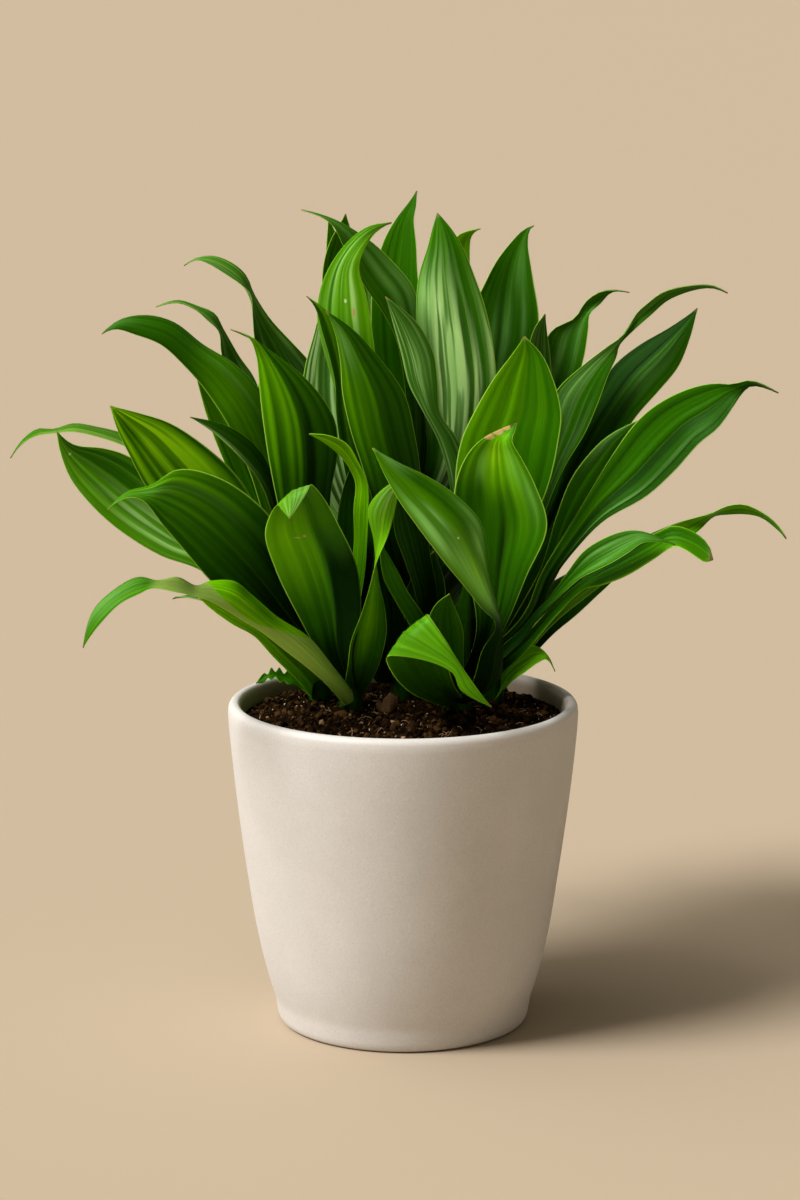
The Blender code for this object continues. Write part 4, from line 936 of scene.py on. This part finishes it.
def spot_on(tree):
    """The point being shaded, in the object's own space in metres."""
    return node(tree, "TexCoord").outputs["Object"]


def height_of(tree, place):
    return node(tree, "SeparateXYZ", None, {0: place}).outputs[2]


def shader_group(name, takes, gives):
    """An empty node group with number inputs, and colour or number outputs."""
    tree = bpy.data.node_groups.new(name, "ShaderNodeTree")
    for key in takes:
        tree.interface.new_socket(key, in_out="INPUT", socket_type="NodeSocketFloat")
    for key, kind in gives.items():
        tree.interface.new_socket(key, in_out="OUTPUT", socket_type="NodeSocket" + kind)
    return tree, tree.nodes.new("NodeGroupInput").outputs, tree.nodes.new("NodeGroupOutput").inputs


def new_material(name, **values):
    """A material, its tree and its shader, with values by the shader's own names, _ for each space."""
    made = bpy.data.materials.new(name)
    made.use_nodes = True
    shader = made.node_tree.nodes["Principled BSDF"]
    for key, value in values.items():
        shader.inputs[key.replace("_", " ")].default_value = value
    return made, made.node_tree, shader


def finish_material(tree, shader, colour, roughness=None, bump=None):
    """Link a colour and, where given, a roughness and a bump: its strength, depth in metres and height."""
    tree.links.new(colour, shader.inputs["Base Color"])
    if roughness is not None:
        tree.links.new(roughness, shader.inputs["Roughness"])
    if bump:
        relief = node(tree, "Bump", None, dict(zip(("Strength", "Distance", "Height"), bump)))
        tree.links.new(relief.outputs[0], shader.inputs["Normal"])


# A near-black green that paints deep shade, for the lowest tones.
LEAF_PAINTED_DEEP_SHADE = (0.0016, 0.012, 0.0002)
LEAF_MID = (0.024, 0.125, 0.0002)
LEAF_BRIGHT = (0.125, 0.40, 0.0006)
# A painted glow of light shining through the leaf, for the highest tones.
LEAF_PAINTED_GLOW = (0.44, 0.92, 0.008)
# A painted gloss highlight for the pale streaks and glints.
LEAF_PAINTED_GLOSS = (0.50, 0.78, 0.30)
# A painted sheen.
LEAF_PAINTED_SHEEN = (0.30, 0.70, 0.16)
LEAF_UNDER = (0.42, 0.66, 0.12)
# The underside in painted shade.
LEAF_UNDER_PAINTED_SHADE = (0.08, 0.12, 0.02)
LEAF_RIB = (0.06, 0.18, 0.005)
LEAF_MARGIN = (0.28, 0.58, 0.05)
LEAF_DRY = (0.20, 0.15, 0.05)
LEAF_TAN = (0.50, 0.33, 0.13)
LEAF_SPOT = (0.62, 0.72, 0.40)

# Small marks on leaves: the middle, half width and half height in mm, and the colour. All reach as deep.
LEAF_MARKS = [
    (58.5, -78, 437.5, 4.5, 2.6, LEAF_TAN), (64.5, -78, 441, 5, 3, LEAF_TAN),
    (70, -76.5, 443.8, 4, 2.6, LEAF_TAN), (-34.3, -20.6, 515.5, 1.2, 4, LEAF_TAN),
    (-40, -19.8, 523.5, 1.1, 1.6, LEAF_SPOT), (37.4, -110.4, 372.8, 0.9, 0.9, LEAF_SPOT),
    (-233, -23, 416.5, 1.1, 1.1, LEAF_SPOT), (-68.5, -56.6, 364.3, 1.3, 1.1, LEAF_TAN),
    (-73, -56.3, 363, 3.4, 0.4, LEAF_TAN)]
MARK_HALF_DEPTH = 12


def mark_layers(tree, vein):
    """For each small mark its share, 0.9 inside a soft-edged oval, and its colour."""
    spot = spot_on(tree)
    layers = []
    for x, y, z, half_wide, half_high, colour in LEAF_MARKS:
        squash = (1 / half_wide, 1 / MARK_HALF_DEPTH, 1 / half_high)
        shift = tuple(-place * part for place, part in zip((x, y, z), squash))
        scale = tuple(part / MM for part in squash)
        inside = vector(tree, "MULTIPLY_ADD", spot, scale, shift)[0]
        far = vector(tree, "LENGTH", inside)["Value"]
        layers.append((slope(tree, scaled(tree, vein, 0.6, far), 1.0, 0.6, 0, 0.9), colour))
    return layers


def leaf_group():
    """The leaf's skin: tone with painted light and shade, banded along the flutes, painted gloss streaks,
    painted sheen, thin pale margins, dry tips and veins.
    """
    takes = [key.capitalize() for key in LEAF_NUMBERS]
    gives = {"Colour": "Color", "Roughness": "Float", "Relief": "Float"}
    tree, take, give = shader_group("leaf_skin", takes, gives)
    across, flute, tone, below = take["Across"], take["Flute"], take["Tone"], take["Below"]
    shifted = calculate(tree, "ADD", across, take["Seed"])
    long = scaled(tree, take["Walked"], 3.5)
    place = node(tree, "CombineXYZ", None, {0: shifted, 1: long, 2: take["Seed"]}).outputs[0]
    wide = grain(tree, place, (3, 1, 1), 1)
    vein = grain(tree, place, (15, 0.8, 1), 1.5)
    fine = grain(tree, place, (55, 1.5, 1), 1)
    patch = grain(tree, place, (5, 3.5, 1), 1.5)
    # The tone with its painted light and shade, plus painted light and shade along the flutes and random
    # grain.
    lit = scaled(tree, flute, scaled(tree, tone, 0.16, 0.04), tone)
    for part, strength in ((wide, 0.4), (vein, 0.2), (fine, 0.12)):
        lit = scaled(tree, part, strength, lit)
    # The painted gloss streaks follow the veins and flutes.
    streak = scaled(tree, scaled(tree, vein, 1.3, flute), 0.55)
    streak = slope(tree, scaled(tree, patch, 3, streak), -0.15, 0.5, 0.08, 1)
    # The underside darkens with a low tone: painted shade.
    under = layered(tree, LEAF_UNDER_PAINTED_SHADE, (slope(tree, tone, 0, 1), LEAF_UNDER))
    edge = calculate(tree, "ABSOLUTE", across)
    # The pale margin is the leaf's own; it dims where the tone is dark, so it takes the painted shade too.
    margin = scaled(tree, slope(tree, edge, 0.962, 0.988), slope(tree, tone, -0.1, 0.5, 0.1, 0.8))
    # The tone's greens, with painted shade and a painted glow at the ends, then the painted gloss streaks and
    # painted sheen, the underside, rib, margin, dry tip and marks.
    colour = layered(
        tree, LEAF_PAINTED_DEEP_SHADE,
        (slope(tree, lit, -0.05, 0.5), LEAF_MID),
        (slope(tree, lit, 0.4, 1.05), LEAF_BRIGHT),
        (slope(tree, lit, 0.95, 1.6), LEAF_PAINTED_GLOW),
        (scaled(tree, streak, take["Pale"]), LEAF_PAINTED_GLOSS),
        (scaled(tree, scaled(tree, vein, 1.2, 1), take["Sheen"]), LEAF_PAINTED_SHEEN),
        (below, under),
        (slope(tree, edge, 0.05, 0, 0, 0.25), LEAF_RIB),
        (margin, LEAF_MARGIN),
        (slope(tree, scaled(tree, vein, 0.8, take["Dry"]), 0.2, 0.7, 0, 0.7), LEAF_DRY),
        *mark_layers(tree, vein))
    tree.links.new(colour, give["Colour"])
    rough = scaled(tree, below, 0.14, scaled(tree, vein, 0.1, 0.36))
    tree.links.new(calculate(tree, "ADD", rough, slope(tree, tone, 0.25, -0.2, 0, 0.45)), give["Roughness"])
    tree.links.new(scaled(tree, fine, 0.35, vein), give["Relief"])
    return tree


def leaf_material():
    """One material for all the leaves, fed by the numbers that each leaf's points keep."""
    if "leaf" in bpy.data.materials:
        return bpy.data.materials["leaf"]
    made, tree, shader = new_material(
        "leaf", Specular_IOR_Level=0.1, Specular_Tint=(0.3, 1, 0.18, 1), Subsurface_Weight=0.5,
        Subsurface_Radius=(1.0, 1.0, 0.2), Subsurface_Scale=0.0015)
    skin = node(tree, "Group", {"node_tree": leaf_group()})
    for key in LEAF_NUMBERS:
        kept = node(tree, "Attribute", {"attribute_name": key})
        tree.links.new(kept.outputs["Fac"], skin.inputs[key.capitalize()])
    colour, roughness, relief = (skin.outputs[key] for key in ("Colour", "Roughness", "Relief"))
    finish_material(tree, shader, colour, roughness, (0.3, 0.0005, relief))
    return made


def pot_material():
    """Matte pale stoneware: slow cloudy tone, fine grain, small dark and light specks, painted shade on the
    inside wall under the rim and a smoother lip.
    """
    made, tree, shader = new_material("matte_stoneware")
    place = spot_on(tree)
    height = height_of(tree, place)
    cloud = noise(tree, place, 14, 3, 0.6)
    fine = noise(tree, place, 620, 3, 0.7)
    speck = noise(tree, place, 1100, 1, 0.5)
    out = vector(tree, "LENGTH", vector(tree, "MULTIPLY", place, (1, 1, 0))[0])["Value"]
    lip = slope(tree, height, 0.227, 0.233)
    # Painted shade: the inside wall under the rim is darker and warmer.
    inner = scaled(tree, slope(tree, out, 0.1192, 0.117), slope(tree, height, 0.19, 0.2))
    colour = layered(
        tree, (0.60, 0.585, 0.575),
        (slope(tree, cloud, 0.3, 0.7), (0.65, 0.635, 0.625)),
        (slope(tree, fine, 0.35, 0.7, 0, 0.3), (0.50, 0.48, 0.46)),
        (slope(tree, speck, 0.62, 0.72, 0, 0.35), (0.40, 0.38, 0.35)),
        (slope(tree, speck, 0.36, 0.28, 0, 0.5), (0.76, 0.74, 0.72)),
        (inner, (0.36, 0.29, 0.20)),
        (scaled(tree, lip, 0.35), (0.69, 0.675, 0.65)))
    finish_material(tree, shader, colour, slope(tree, lip, 0, 1, 0.78, 0.55), (0.3, 0.0005, fine))
    return made


def soil_material():
    """Dark moist soil: clods of two browns under a fine rough grain."""
    made, tree, shader = new_material("moist_soil", Roughness=0.95, Specular_IOR_Level=0.02)
    clod = noise(tree, spot_on(tree), 260, 4, 0.65)
    colour = layered(tree, (0.003, 0.0017, 0.0005), (slope(tree, clod, 0.35, 0.7), (0.016, 0.0076, 0.0024)))
    finish_material(tree, shader, colour, None, (0.9, 0.002, clod))
    return made


def crumb_material():
    """Crumbs from dark peat (tone 0) over brown bark and tan chaff to white mineral grains (tone 1)."""
    if "soil_crumb" in bpy.data.materials:
        return bpy.data.materials["soil_crumb"]
    made, tree, shader = new_material("soil_crumb", Roughness=0.9, Specular_IOR_Level=0.03)
    tone = node(tree, "Attribute", {"attribute_name": "tone"}).outputs["Fac"]
    fleck = calculate(tree, "SUBTRACT", noise(tree, spot_on(tree), 900, 2, 0.6), 0.5)
    tone = scaled(tree, fleck, 0.18, tone)
    colour = layered(
        tree, (0.004, 0.002, 0.0006),
        (slope(tree, tone, 0, 0.35), (0.058, 0.028, 0.009)),
        (slope(tree, tone, 0.35, 0.7), (0.36, 0.22, 0.12)),
        (slope(tree, tone, 0.75, 0.95), (0.75, 0.70, 0.62)))
    finish_material(tree, shader, colour)
    return made


# The stage: lengths in metres, angles in degrees, and the camera's lens and sensor in mm.
FLOOR_RADIUS = 30
FLOOR_AROUND = 64
FLOOR_GAP = 0.0002
SUN_STRENGTH = 4.16
SUN_WIDTH = 24
SUN_TILT = 44
SUN_TURN = -66
SUN_COLOUR = (1, 0.975, 0.94)
BRIGHT_SKY_TOWARD = (-0.45, 0.1, 0.89)
CAMERA_AT = (-0.00216, -2.6, 0.831)
CAMERA_DOWN = 11.38
CAMERA_LENS = 111.9
CAMERA_SENSOR = 36


def add_floor():
    """A pale round floor, a little below the pot's foot."""
    points = FLOOR_RADIUS * circle(even_turns(FLOOR_AROUND)) - (0, 0, FLOOR_GAP)
    made, _, _ = new_material("pale_floor", Roughness=0.9, Base_Color=(0.43, 0.345, 0.25, 1))
    item = put_mesh("floor", points, [list(range(FLOOR_AROUND))], made)


def add_lights():
    """A broad soft sun from the front left, and a pale sky that is darker and warmer towards the horizon."""
    lamp = bpy.data.lights.new("key", "SUN")
    lamp.energy = SUN_STRENGTH
    lamp.angle = math.radians(SUN_WIDTH)
    lamp.color = SUN_COLOUR
    item = new_object("key", lamp)
    item.rotation_euler = (math.radians(SUN_TILT), 0, math.radians(SUN_TURN))
    world = bpy.data.worlds.new("studio")
    bpy.context.scene.world = world
    world.use_nodes = True
    tree = world.node_tree
    toward = node(tree, "TexCoord").outputs["Generated"]
    height = height_of(tree, toward)
    near = vector(tree, "DOT_PRODUCT", toward, BRIGHT_SKY_TOWARD)["Value"]
    sky = layered(
        tree, (0.46, 0.36, 0.235),
        (slope(tree, height, 0, 0.3), (0.16, 0.148, 0.118)),
        (slope(tree, near, 0.8, 0.95), (1.9, 1.8, 1.62)))
    sky = layered(tree, (0.64, 0.49, 0.33), (slope(tree, height, 0.02, 0.1), sky))
    tree.links.new(sky, tree.nodes["Background"].inputs["Color"])


def add_camera():
    view = bpy.data.cameras.new("camera")
    view.lens = CAMERA_LENS
    view.sensor_width = CAMERA_SENSOR
    item = new_object("camera", view)
    item.location = CAMERA_AT
    item.rotation_euler = (math.radians(90 - CAMERA_DOWN), 0, 0)
    bpy.context.scene.camera = item


def main():
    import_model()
    pot_piece()
    soil_piece()
    for name, values in CRUMBS.items():
        crumbs_piece(name, *values)
    fibres_piece()
    chip_piece()
    for order, shoot in enumerate(STEMS, 1):
        item = shoot_piece(shoot, order)
    add_floor()
    add_lights()
    add_camera()
    scene = bpy.context.scene
    scene.view_settings.view_transform = "Standard"


main()
